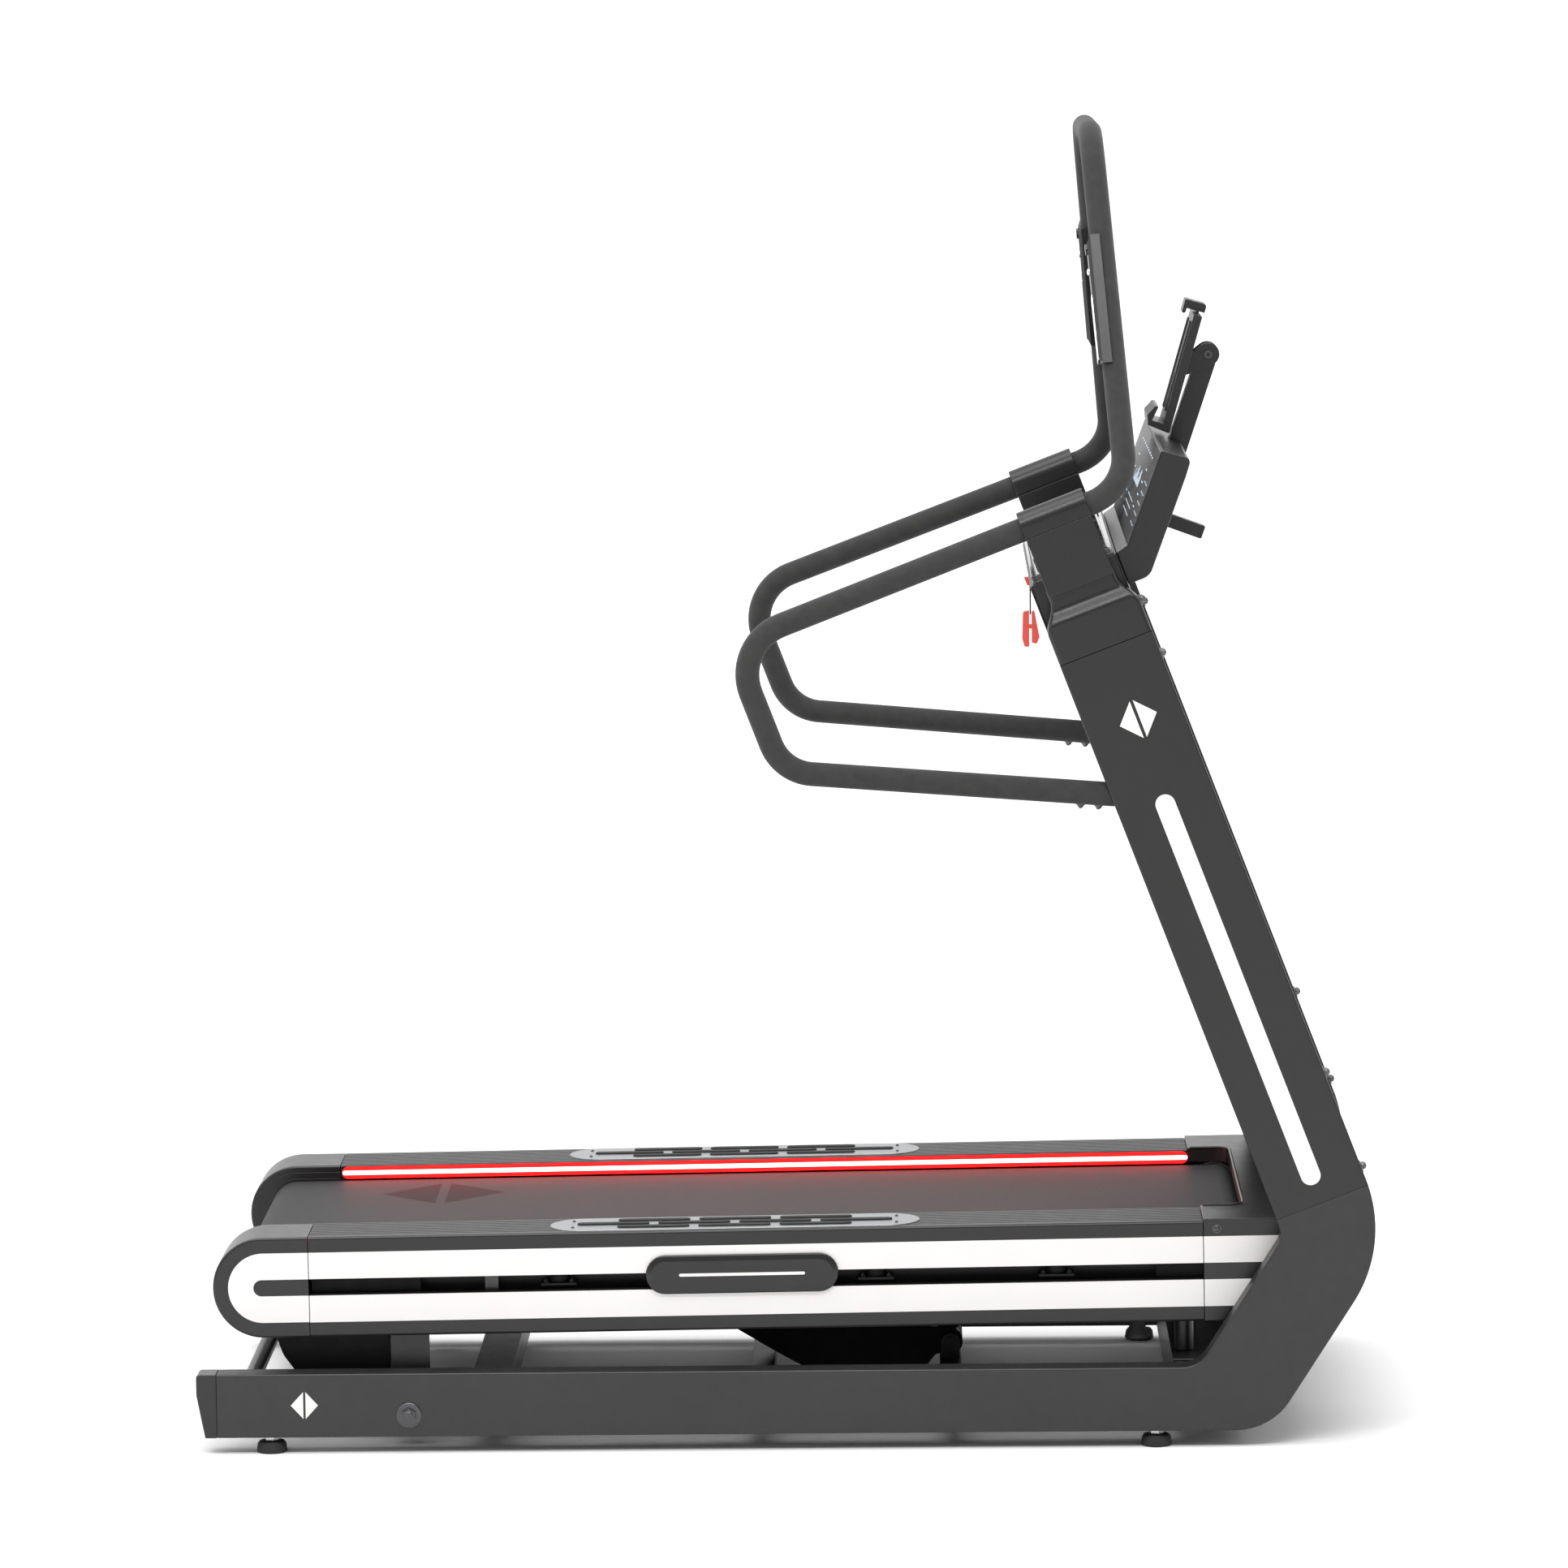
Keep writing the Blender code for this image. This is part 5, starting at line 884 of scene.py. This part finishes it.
def handle_path(side):
    """From the bracket back, down and forward again into the upright."""
    at_tube = side * TUBE_MIDDLE
    splayed = side * (TUBE_MIDDLE + GRIP_SPLAY)
    return [
        (up(GRIP_ALONG, UPRIGHT_WIDTH / 2 - 0.0003, at_tube), 0),
        (up(GRIP_ALONG, 0, at_tube), 0.1),
        (up(GRIP_ALONG, -GRIP_REACH, splayed), 0.076),
        (up(0.8713, -GRIP_REACH, splayed), 0.068),
        (up(0.6567, 0.020, at_tube), 0),
    ]


def bar_bend(side):
    return up(GRIP_ALONG, BAR_BEND_ACROSS, side * TUBE_MIDDLE)


def bar_top(side):
    low = bar_bend(side)
    return Vector((low.x - (BAR_TOP_Z - low.z) * BAR_LEAN, side * BAR_TOP_HALF, BAR_TOP_Z))


def make_bars():
    for label, side in SIDES:
        foam_tube = tube(smooth_path(handle_path(side)), GRIP_RADIUS, 28)
        piece("handle_" + label + "_foam", foam_tube, "grip_foam", "base", ("handle_" + label,))
        along = handle_end(side)
        below = along.cross(Vector((0, 1, 0))).normalized()
        below = below if below.z < 0 else -below
        start = handle_path(side)[-1][0]
        start += below * (GRIP_RADIUS - 0.0005)
        works = [bolt(start + along * distance, below, 0.0042, 0.0045) for distance in (0.038, 0.064)]
        piece("handle_bolts_" + label, merged(*works), "bare_steel", material=DARK_METAL)
    middle = UPRIGHT_WIDTH / 2 + 0.0003
    corners = [
        (up(GRIP_ALONG, middle, -TUBE_MIDDLE), 0),
        (bar_bend(-1), 0.070),
        (bar_top(-1), 0.085),
        (bar_top(1), 0.085),
        (bar_bend(1), 0.070),
        (up(GRIP_ALONG, middle, TUBE_MIDDLE), 0),
    ]
    foam_tube = tube(smooth_path(corners, 18), GRIP_RADIUS, 28)
    piece("tall_bar_foam", foam_tube, "grip_foam", "base", ("tall_bar",))


def handle_end(side):
    """The direction in which a side handle leaves its upright."""
    path = handle_path(side)
    return (path[-2][0] - path[-1][0]).normalized()


make_heads()
make_bars()


# Control pods on the tall bar


PULSE_PLATE = (1.5785, 1.6724)
PULSE_HALF = 0.0140
BALL_Z = 1.707
BALL_RADIUS = 0.0054


def leg_frame(side):
    """A leg of the tall bar: its low end, its direction and the way out of its rear face."""
    low = bar_bend(side)
    direction = (bar_top(side) - low).normalized()
    back = Vector((-1, 0, 0))
    back = (back - direction * back.dot(direction)).normalized()
    return low, direction, back


def leg_point(side, z, back=0.0, aside=0.0):
    """A point at a height on a leg of the tall bar, moved out of its rear face and sideways."""
    low, direction, towards = leg_frame(side)
    point = low + direction * ((z - low.z) / direction.z)
    return point + towards * back + direction.cross(towards) * aside


def leg_plate(side, low_z, high_z, half, depths, radius):
    """A thin plate on the pod's face, with rounded corners."""
    outline = rounded([(*corner, radius) for corner in slab(-half, half, low_z, high_z)], 5)
    return lofted([[leg_point(side, z, depth, a) for a, z in outline] for depth in depths])


def make_pods():
    for label, side in SIDES:
        dress("pod_" + label, "moulded_plastic", 0.0016, 3)
        plate = leg_plate(side, *PULSE_PLATE, PULSE_HALF, (POD_BACK - 0.001, POD_BACK + 0.0011), 0.004)
        piece("pulse_plate_" + label, plate, "chrome", bevel=0.0004, material=SILVER_PAINT)
        dress("oval_button_" + label, "console_gloss", 0.0008, 3)
        turns = [i * math.pi / 18 for i in range(9)]
        dome = [(AXIS, -0.0008), (BALL_RADIUS, -0.0008)]
        dome += [(BALL_RADIUS * math.cos(t), 0.0008 + 0.0030 * math.sin(t)) for t in turns]
        dome.append((0.0002, 0.0038))
        node = "ball_button_" + label
        work = turned(dome, leg_point(side, BALL_Z, POD_BACK), leg_frame(side)[2])
        piece(node + "_dome", work, "chrome", BODY_OF[node], (node,), angle=60)


make_pods()


# Console


def glass_point(share, y, out=0.0):
    """A point on the console's glass: share runs from its lower to its upper edge."""
    flat = GLASS_LOW.lerp(GLASS_HIGH, share)
    face = (GLASS_HIGH - GLASS_LOW).normalized()
    outward = Vector((face.y, -face.x))
    flat = flat + outward * out
    return up(flat.x, flat.y, y)


def glass_mark(share, y, tall, wide):
    """A thin printed bar on the glass."""
    corners = slab(share - tall / 2, share + tall / 2, y - wide / 2, y + wide / 2)
    return lofted([[glass_point(s, a, out) for s, a in corners] for out in (-0.0002, 0.0003)])


def make_display():
    """Plain marks on the glass: two keypads, dot rows and a bar graph."""
    works = []
    for side in (-1, 1):
        for row in range(5):
            for column in range(3):
                y = side * (0.235 + column * 0.034)
                works.append(glass_mark(0.18 + row * 0.105, y, 0.016, 0.012))
        for row in range(4):
            works.append(glass_mark(0.30 + row * 0.13, side * 0.165, 0.012, 0.034))
    for column in range(15):
        height = 0.05 + 0.045 * (1 + math.sin(column * 0.9)) * 1.4
        works.append(glass_mark(0.46 + height / 2, (column - 7) * 0.0125, height, 0.0045))
    for row in range(3):
        for column in range(7):
            wide = 0.012 + 0.006 * (column % 2)
            works.append(glass_mark(0.16 + row * 0.075, (column - 3) * 0.030, 0.012, wide))
    for column in range(9):
        works.append(glass_mark(0.84, (column - 4) * 0.052, 0.018, 0.016))
    piece("display_marks", merged(*works), "console_gloss", material=MARKS)


def make_console():
    dress("console_beam", "frame_paint", 0.0014, 3)
    dress("console_housing", "moulded_plastic", 0.0055, 5)
    dress("console_glass", "console_gloss", 0.0006)
    dress("accessory_hook", "frame_paint", 0.0010)
    for label, side in SIDES:
        plate = prism(up_slab((0.907, 0.985), (0.002, 0.132)),
                      *span(side, FRAME_INNER - 0.0030, FRAME_INNER - 0.0006))
        piece("beam_end_" + label, plate, "moulded_plastic", bevel=0.0008)
    make_display()
    make_tray()


TRAY_TOP = 0.9898
RING_PROFILE = [(0.039, -0.001), (0.0445, -0.001), (0.0440, 0.006), (0.0425, 0.0075), (0.0405, 0.0075),
                (0.039, 0.006)]


def tray_bar(across, y, tall, wide_across, wide_y):
    """An upright strip on the tray, about a middle line."""
    outline = up_slab((0.9885, 0.9885 + tall), (across - wide_across / 2, across + wide_across / 2))
    return prism(outline, y - wide_y / 2, y + wide_y / 2)


def make_tray():
    """The gloss tray in front of the glass, with its rims, its dividers and two bottle rings."""
    half = FRAME_INNER - 0.006
    plate = prism(up_slab((0.9868, TRAY_TOP), (0.006, 0.131)), -half, half)
    piece("tray_plate", plate, "console_gloss", bevel=0.0008)
    works = [tray_bar(0.0095, 0, 0.010, 0.005, 2 * half)]
    for y in (-half + 0.003, half - 0.003):
        works.append(tray_bar(0.068, y, 0.010, 0.118, 0.005))
    for y in (-0.125, 0.125):
        works.append(tray_bar(0.070, y, 0.012, 0.110, 0.004))
    works.append(tray_bar(0.050, 0, 0.008, 0.004, 0.235))
    works.append(tray_bar(0.122, 0, 0.012, 0.006, 2 * half - 0.02))
    piece("tray_rims", merged(*works), "console_gloss", bevel=0.0010)
    rings = [turned(RING_PROFILE, up(TRAY_TOP, 0.066, y), UP, 48, True) for y in (-0.235, 0.235)]
    piece("bottle_rings", merged(*rings), "moulded_plastic")


make_console()


# Tablet holder


def holder_point(along, back, y=0.0):
    """A point up the tablet holder's plate and out from it."""
    sine, cosine = math.sin(HOLDER_LEAN), math.cos(HOLDER_LEAN)
    return HOLDER_LOW + Vector((along * sine - back * cosine, y, along * cosine + back * sine))


def holder_bar(along, back, y):
    """A box on the holder, from (low, high) pairs up its plate, out from it and across it."""
    return lofted([[holder_point(a, b, c) for a, c in slab(*along, *y)] for b in back])


def make_tablet():
    dress("tablet_arm", "moulded_plastic", 0.0012, 3)
    dress("tablet_holder", "moulded_plastic", 0.0012, 3)
    dress("tablet_grip", "moulded_plastic", 0.0009, 3)
    body = BODY_OF["tablet_holder"]
    pads = []
    for y in (-0.056, -0.038, 0.038, 0.056):
        pads.append(holder_bar((0.030, 0.168), (0.0125, 0.0148), (y - 0.004, y + 0.004)))
    for row in range(13):
        for y in (-0.022, 0.0, 0.022):
            along = (0.032 + row * 0.0042, 0.0342 + row * 0.0042)
            pads.append(holder_bar(along, (0.0125, 0.0142), (y - 0.008, y + 0.008)))
    piece("tablet_pads", merged(*pads), "black_rubber", body, bevel=0.0003)
    jaw = holder_bar((0.1775, 0.1835), (0.0235, 0.0247), (-0.026, 0.026))
    piece("tablet_grip_pad", jaw, "black_rubber", BODY_OF["tablet_grip"])
    for label, side in SIDES:
        centre = TABLET_AXIS + Vector((0, side * 0.0258, 0))
        profile = [(0.0030, 0.0002), (0.0030, 0.0036), (0.0062, 0.0036), (0.0066, 0.0004), (0.0062, -0.001)]
        head = turned(closed(profile), centre, (0, side, 0), 24)
        piece("tablet_hinge_screw_" + label, head, "bare_steel", body, material=DARK_METAL)


make_tablet()


# Deck sides


RIB_PITCH = 0.010
RIB_GAP = 0.003
RIB_DEPTH = 0.0012
LIP_DEPTH = 0.018


def rail_outline(side):
    """A deck rail's section: a thin shell with a ribbed top, an inner lip and a ledge over the slot."""
    low = DECK_MIDDLE + SLOT_HALF
    under = DECK_TOP - SHELL
    points = [(RAIL_INNER, DECK_TOP - LIP_DROP, 0.0008), (RAIL_INNER, DECK_TOP, 0.0025)]
    y = RAIL_INNER + 0.008
    low_rib = DECK_TOP - RIB_DEPTH
    while y < DECK_HALF - 0.014:
        points += [(y, DECK_TOP, 0.0005), (y, low_rib, 0.0004)]
        points += [(y + RIB_GAP, low_rib, 0.0004), (y + RIB_GAP, DECK_TOP, 0.0005)]
        y += RIB_PITCH
    ledge = DECK_HALF - LIP_DEPTH
    points += [(DECK_HALF, DECK_TOP, 0.0042), (DECK_HALF, low, 0.0008)]
    points += [(ledge, low, 0.0008), (ledge, low + SHELL, 0.0008)]
    points += [(DECK_HALF - SHELL, low + SHELL, 0), (DECK_HALF - SHELL, under, 0)]
    points += [(RAIL_INNER + SHELL, under, 0), (RAIL_INNER + SHELL, DECK_TOP - LIP_DROP, 0.0008)]
    return [(side * y, z) for y, z in rounded(points, 4)]


def make_deck_sides():
    for label, side in SIDES:
        rail = prism(rail_outline(side), REAR_SEAM + SEAM, FRONT_SEAM - SEAM, "YZ")
        stand_in("deck_rail_" + label, rail, "frame_paint", level=True)
        dress("deck_skirt_" + label, "frame_paint", 0.0008)
        make_bands(label, side)
        make_rear_cap(label, side)
        make_foot_pad(label, side)
        make_led(label, side)
        make_badge(label, side)
        make_cushions(label, side)


def make_bands(label, side):
    """The white bands above and below the slot, and the white U that joins them at the rear."""
    face = span(side, DECK_HALF - 0.0004, DECK_HALF + 0.0004)
    upper = (DECK_MIDDLE + SLOT_HALF + SEAM, BAND_TOP)
    lower = (BAND_BOTTOM, DECK_MIDDLE - SLOT_HALF - SEAM)
    works = []
    for low, high in (upper, lower):
        works.append(prism(slab(REAR_SEAM + SEAM, FRONT_SEAM - SEAM, low, high), *face))
        works.append(prism(slab(FRONT_SEAM + SEAM, FRONT - 0.070, low, high), *face))
    works.append(prism(cap_band(), *face))
    on_deck("white_bands_" + label, merged(*works), "white_band", bevel=0.00015)


def signed_area(points):
    pairs = zip(points, points[1:] + points[:1])
    return sum(p[0] * q[1] - q[0] * p[1] for p, q in pairs) / 2


def stadium_end(radius, seam, steps=36):
    """The rear end's outline: straight from the seam, then half round."""
    turns = arc((CAP_CENTRE, DECK_MIDDLE), radius, math.pi / 2, 3 * math.pi / 2, steps)
    return [(seam, DECK_MIDDLE + radius)] + turns + [(seam, DECK_MIDDLE - radius)]


CAP_BAND_RADIUS = 0.0515
CAP_SLOT_END = -0.7643
CAP_STEPS = ((0.0640, -0.0002), (0.0545, -0.0013), (0.0470, -0.0022))


def cap_band():
    """The white U round the rear end, open at the seam."""
    seam = REAR_SEAM - 0.0005
    slot_radius = SLOT_HALF + 0.0004
    slot = arc((CAP_SLOT_END, DECK_MIDDLE), slot_radius, 3 * math.pi / 2, math.pi / 2, 18)
    return (stadium_end(CAP_BAND_RADIUS, seam) + [(seam, DECK_MIDDLE - slot_radius)] + slot
            + [(seam, DECK_MIDDLE + slot_radius)])


def make_rear_cap(label, side):
    """The rounded rear end, with three shallow steps on its inner face."""
    seam = REAR_SEAM - SEAM
    outline = stadium_end(DECK_TOP - DECK_MIDDLE, seam)
    if signed_area(outline) < 0:
        outline.reverse()
    works = [soft_prism(outline, *span(side, RAIL_INNER + 0.001, DECK_HALF), 0.0038,
                        lambda p, q: min(p[0], q[0]) > seam - 1e-6)]
    for radius, depth in CAP_STEPS:
        face = span(side, RAIL_INNER + depth, RAIL_INNER + 0.004)
        works.append(prism(stadium_end(radius, seam), *face))
    stand_in("rear_cap_" + label, merged(*works), "moulded_plastic", level=True, bevel=0.0006)


PAD_MIDDLE = -0.0705
PAD_HALF_LENGTH = 0.2715
PAD_RADIUS = 0.050
BAR_HALF = 0.046
BAR_RADIUS = 0.007
BAR_PITCH = 0.1190
BAR_ROWS = ((-0.0265, 3), (0.0, 4), (0.0265, 3))


def make_foot_pad(label, side):
    """The silver step plate on the rail, with rubber bars in three staggered rows."""
    centre_y = side * RAIL_MIDDLE
    ends = [(PAD_MIDDLE + sign * (PAD_HALF_LENGTH - PAD_RADIUS), centre_y) for sign in (-1, 1)]
    plate = prism(pill(*ends, PAD_RADIUS, 16), DECK_TOP - 0.0012, DECK_TOP + 0.0012, "XY")
    on_deck("step_plate_" + label, plate, "silver_pad", bevel=0.0006, segments=3)
    bars = []
    for aside, count in BAR_ROWS:
        y = centre_y + aside
        for i in range(count):
            x = PAD_MIDDLE + (i - (count - 1) / 2) * BAR_PITCH
            outline = pill((x - BAR_HALF, y), (x + BAR_HALF, y), BAR_RADIUS, 8)
            bars.append(prism(outline, DECK_TOP + 0.0008, DECK_TOP + 0.0034, "XY"))
    on_deck("step_bars_" + label, merged(*bars), "black_rubber", bevel=0.0010, segments=3)
    screws = []
    for x in (PAD_MIDDLE - PAD_HALF_LENGTH + 0.034, PAD_MIDDLE + PAD_HALF_LENGTH - 0.034):
        for y in (centre_y - 0.0255, centre_y + 0.0255):
            screws.append(screw((x, y, DECK_TOP + 0.0012), (0, 0, 1), 0.0026))
    on_deck("step_screws_" + label, merged(*screws), "bare_steel", material=DARK_METAL)


LED_GLOW = (0.2918, 0.3098)
LED_WHITE = (0.2974, 0.3040)


def make_led(label, side):
    """The lit strip along the rail's inner lip: a white core in a red diffuser."""
    low, high = REAR_SEAM + 0.003, FRONT_SEAM + 0.0005

    def strip(bottom, top, depth):
        radius = (top - bottom) / 2
        middle = (top + bottom) / 2
        outline = pill((low + radius, middle), (high - radius, middle), radius, 8)
        return prism(outline, *span(side, RAIL_INNER - depth, RAIL_INNER + 0.0005))

    on_deck("led_diffuser_" + label, strip(*LED_GLOW, 0.0010), "led_strip")
    on_deck("led_core_" + label, strip(*LED_WHITE, 0.0013), "led_strip", material=LED_CORE)


BADGE_ENDS = (-0.1725, 0.0525)
BADGE_MIDDLE = 0.2475
BADGE_RADIUS = 0.0285
BADGE_FACE = ((-0.012, 0.0), (0.0038, 0.0), (0.0048, 0.0010), (0.0072, 0.0078), (0.0072, 0.0084))
BADGE_LINE = (-0.150, 0.030)


def make_badge(label, side):
    """The dark pod that bridges the slot, with a plain line on it."""
    low, high = ((x, BADGE_MIDDLE) for x in BADGE_ENDS)
    loops = []
    for depth, step in BADGE_FACE:
        outline = pill(low, high, BADGE_RADIUS - step, 14)
        loops.append([(u, side * (DECK_HALF + depth), v) for u, v in outline])
    on_deck("side_badge_" + label, lofted(loops), "moulded_plastic", bevel=0.0004, angle=25)
    low, high = ((x, BADGE_MIDDLE) for x in BADGE_LINE)
    line = prism(pill(low, high, 0.0022, 8), *span(side, DECK_HALF + 0.0070, DECK_HALF + 0.0075))
    on_deck("side_badge_line_" + label, line, "white_band")


PANEL_FACE = (0.3455, 0.3500)
PANEL_Z = (0.2215, 0.2640)
PUCK_PLACES = (-0.605, -0.330, 0.135, 0.400)
PUCK_Z = 0.2330
PUCK = [(0.0125, 0.0), (0.0140, 0.003), (0.0118, 0.010), (0.0118, 0.020), (0.0135, 0.028), (0.0125, 0.0325)]


def make_cushions(label, side):
    """What shows through the slot: a panel in painted shade, a tab and the rubber pucks under the board."""
    face = span(side, *PANEL_FACE)
    rear, front, tab = (prism(slab(*ends, *PANEL_Z), *face) for ends in
                        ((REAR_SEAM + 0.002, -0.532), (0.545, FRONT_SEAM + 0.004), (-0.438, -0.418)))
    # The slot panels get the near black of painted shade.
    on_deck("slot_panels_" + label, merged(rear, front), "moulded_plastic", bevel=0.0006, material=PAINTED_SHADE)
    on_deck("slot_tab_" + label, tab, "motor_paint", bevel=0.0006)
    pucks, brackets = [], []
    for x in PUCK_PLACES:
        pucks.append(turned(closed(PUCK), (x, side * 0.3250, PUCK_Z), (0, 0, 1)))
        brackets.append(prism(slab(x - 0.026, x + 0.026, 0.2290, 0.2328), *span(side, 0.3082, 0.3430)))
        for dx in (-0.019, 0.019):
            brackets.append(bolt((x + dx, side * 0.3340, PUCK_Z), (0, 0, 1), 0.0035, 0.004))
    on_deck("cushion_pucks_" + label, merged(*pucks), "black_rubber")
    on_deck("cushion_brackets_" + label, merged(*brackets), "frame_paint", bevel=0.0003)


make_deck_sides()


# Running surface, hood and drive


def around_two(first, first_radius, second, second_radius, steps=40):
    """The outline of a belt over two rollers."""
    du, dv = second[0] - first[0], second[1] - first[1]
    tilt = math.atan2(dv, du)
    spread = math.acos((first_radius - second_radius) / math.hypot(du, dv))
    ends = ((first, first_radius, tilt + spread, 2 * math.pi - 2 * spread),
            (second, second_radius, tilt - spread, 2 * spread))
    points = []
    for centre, radius, start, sweep in ends:
        reach = radius / math.cos(sweep / steps / 2)
        for i in range(steps):
            t = start + sweep / steps * (i + 0.5)
            points.append((centre[0] + reach * math.cos(t), centre[1] + reach * math.sin(t)))
    return points


def make_running_surface():
    rear, front = (REAR_ROLLER_X, ROLLER_Z), (FRONT_ROLLER_X, ROLLER_Z)
    radii = (ROLLER_RADIUS + BELT_THICKNESS, ROLLER_RADIUS + 0.0003)
    outer, inner = (around_two(rear, radius, front, radius) for radius in radii)
    loops = [[(u, y, v) for u, v in outline] for outline, y in
             ((outer, -BELT_HALF), (outer, BELT_HALF), (inner, BELT_HALF), (inner, -BELT_HALF))]
    stand_in("running_belt", lofted(loops, ring=True), "belt_pvc", level=True)
    dress("deck_board", "deck_wood", 0.0010)
    dress("deck_frame", "frame_paint", 0.0010)
    # The belly cover's near black is painted shade under the deck.
    dress("rear_belly_cover", "frame_paint", 0.0010, 2, PAINTED_SHADE)
    dress("motor_hood", "moulded_plastic", 0.0014, 3)
    dress("front_roller", "bare_steel", 0.0006)
    dress("rear_roller", "bare_steel", 0.0006)
    dress("motor_pulley", "bare_steel", 0.0004)
    dress("drive_motor", "motor_paint", 0.0012, 3)
    dress("drive_belt", "black_rubber", 0.0004)


def make_hood_trim():
    """The raised lip round the hood's recess and the screws in its sides."""
    rear, front = FRONT_SEAM + 0.004, HOOD_RECESS + 0.0012
    edge = RAIL_INNER + 0.0012
    corners = [(Vector((x, y, HOOD_TOP - 0.0004)), radius) for x, y, radius in
               ((rear, -edge, 0), (front, -edge, 0.0228), (front, edge, 0.0228), (rear, edge, 0))]
    on_deck("hood_lip", tube(smooth_path(corners, 10), 0.0024, 12), "moulded_plastic")
    for label, side in SIDES:
        place = (0.6345, side * DECK_HALF, 0.3005)
        ring = turned([(0.0050, -0.0006), (0.0066, -0.0006), (0.0064, 0.0006), (0.0050, 0.0006)], place,
                      (0, side, 0), 28, True)
        work = merged(ring, screw(place, (0, side, 0), 0.0042))
        on_deck("hood_screw_" + label, work, "bare_steel", material=DARK_METAL)


def make_under_deck():
    """Rubber cones beside the rest posts, and the bolts on the pivot legs."""
    for label, side in SIDES:
        cone = [(0.0150, 0.0), (0.0185, 0.003), (0.0170, 0.008), (0.0105, 0.020), (0.0100, 0.034)]
        cone = turned(closed(cone), (0.517, side * 0.335, 0.1342), (0, 0, 1), 32)
        on_deck("deck_bumper_" + label, cone, "black_rubber")
        bolts = []
        for rise in (0.030, 0.048):
            place = (PIVOT.x + 0.012, side * (DECK_HALF - 0.008), PIVOT.z + rise)
            bolts.append(bolt(place, (0, side, 0), 0.0042, 0.004))
        on_deck("leg_bolts_" + label, merged(*bolts), "bare_steel")


make_running_surface()
make_hood_trim()
make_under_deck()


# Lift gear and power module


def make_lift():
    # The lift arm's near black is painted shade under the deck.
    dress("lift_arm", "frame_paint", 0.0010, 2, PAINTED_SHADE)
    dress("lift_screw", "bare_steel", 0.0006)
    dress("lift_motor", "motor_paint", 0.0010, 3)


def make_power():
    dress("power_inlet", "moulded_plastic", 0.0006)
    dress("power_switch", "console_gloss", 0.0005)
    low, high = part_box("power_inlet")
    centre = Vector((high.x - 0.0085, (low.y + high.y) / 2 - 0.013, (low.z + high.z) / 2))
    blades = [box_at(centre + Vector((0, dy, dz)), (0.009, 0.0045, 0.0022)) for dy, dz in
              ((-0.0065, -0.0030), (0.0065, -0.0030), (0.0, 0.0040))]
    piece("inlet_blades", merged(*blades), "bare_steel")


make_lift()
make_power()


# Stage


def make_stage():
    mesh = bpy.data.meshes.new("floor")
    work = bmesh.new()
    bmesh.ops.create_grid(work, x_segments=1, y_segments=1, size=40.0)
    work.to_mesh(mesh)
    work.free()
    paper = coated("paper", (0.93, 0.93, 0.93), 0.9, spread=0.004, strength=0.02, Specular_IOR_Level=0.0)
    mesh.materials.append(paper)
    floor = link(bpy.data.objects.new("floor", mesh))
    floor.location.z = -0.0002


def area_light(name, place, target, size, power):
    data = bpy.data.lights.new(name, "AREA")
    data.shape = "RECTANGLE"
    data.size, data.size_y = size
    data.energy = power
    light = link(bpy.data.objects.new(name, data))
    light.location = place
    direction = Vector(target) - Vector(place)
    light.rotation_euler = direction.to_track_quat("-Z", "Y").to_euler()


def make_light():
    """An even studio, dimmer behind the camera, with a soft sun overhead and two soft boxes."""
    world = bpy.data.worlds.new("studio")
    world.use_nodes = True
    tree = world.node_tree
    background = tree.nodes["Background"]
    source = tree.nodes.new("ShaderNodeTexCoord").outputs["Generated"]
    parts = fill(tree, tree.nodes.new("ShaderNodeSeparateXYZ"), Vector=source)
    strength = ranged(tree, parts.outputs["Y"], 0.42, 1.12, -0.45, -0.02)
    fill(tree, background, Strength=strength, Color=(1, 1, 1, 1))
    bpy.context.scene.world = world
    bpy.context.scene.view_settings.view_transform = "Standard"
    sun = bpy.data.lights.new("overhead", "SUN")
    sun.energy = 1.6
    sun.angle = math.radians(50)
    overhead = link(bpy.data.objects.new("overhead", sun))
    overhead.rotation_euler = (math.radians(8), math.radians(-6), 0)
    area_light("left", (-3.6, -1.6, 2.6), (-0.3, 0.0, 0.6), (2.0, 2.0), 25)
    area_light("high", (0.2, -3.2, 4.4), (0.1, 0.0, 0.7), (4.0, 0.45), 100)


make_stage()
make_light()
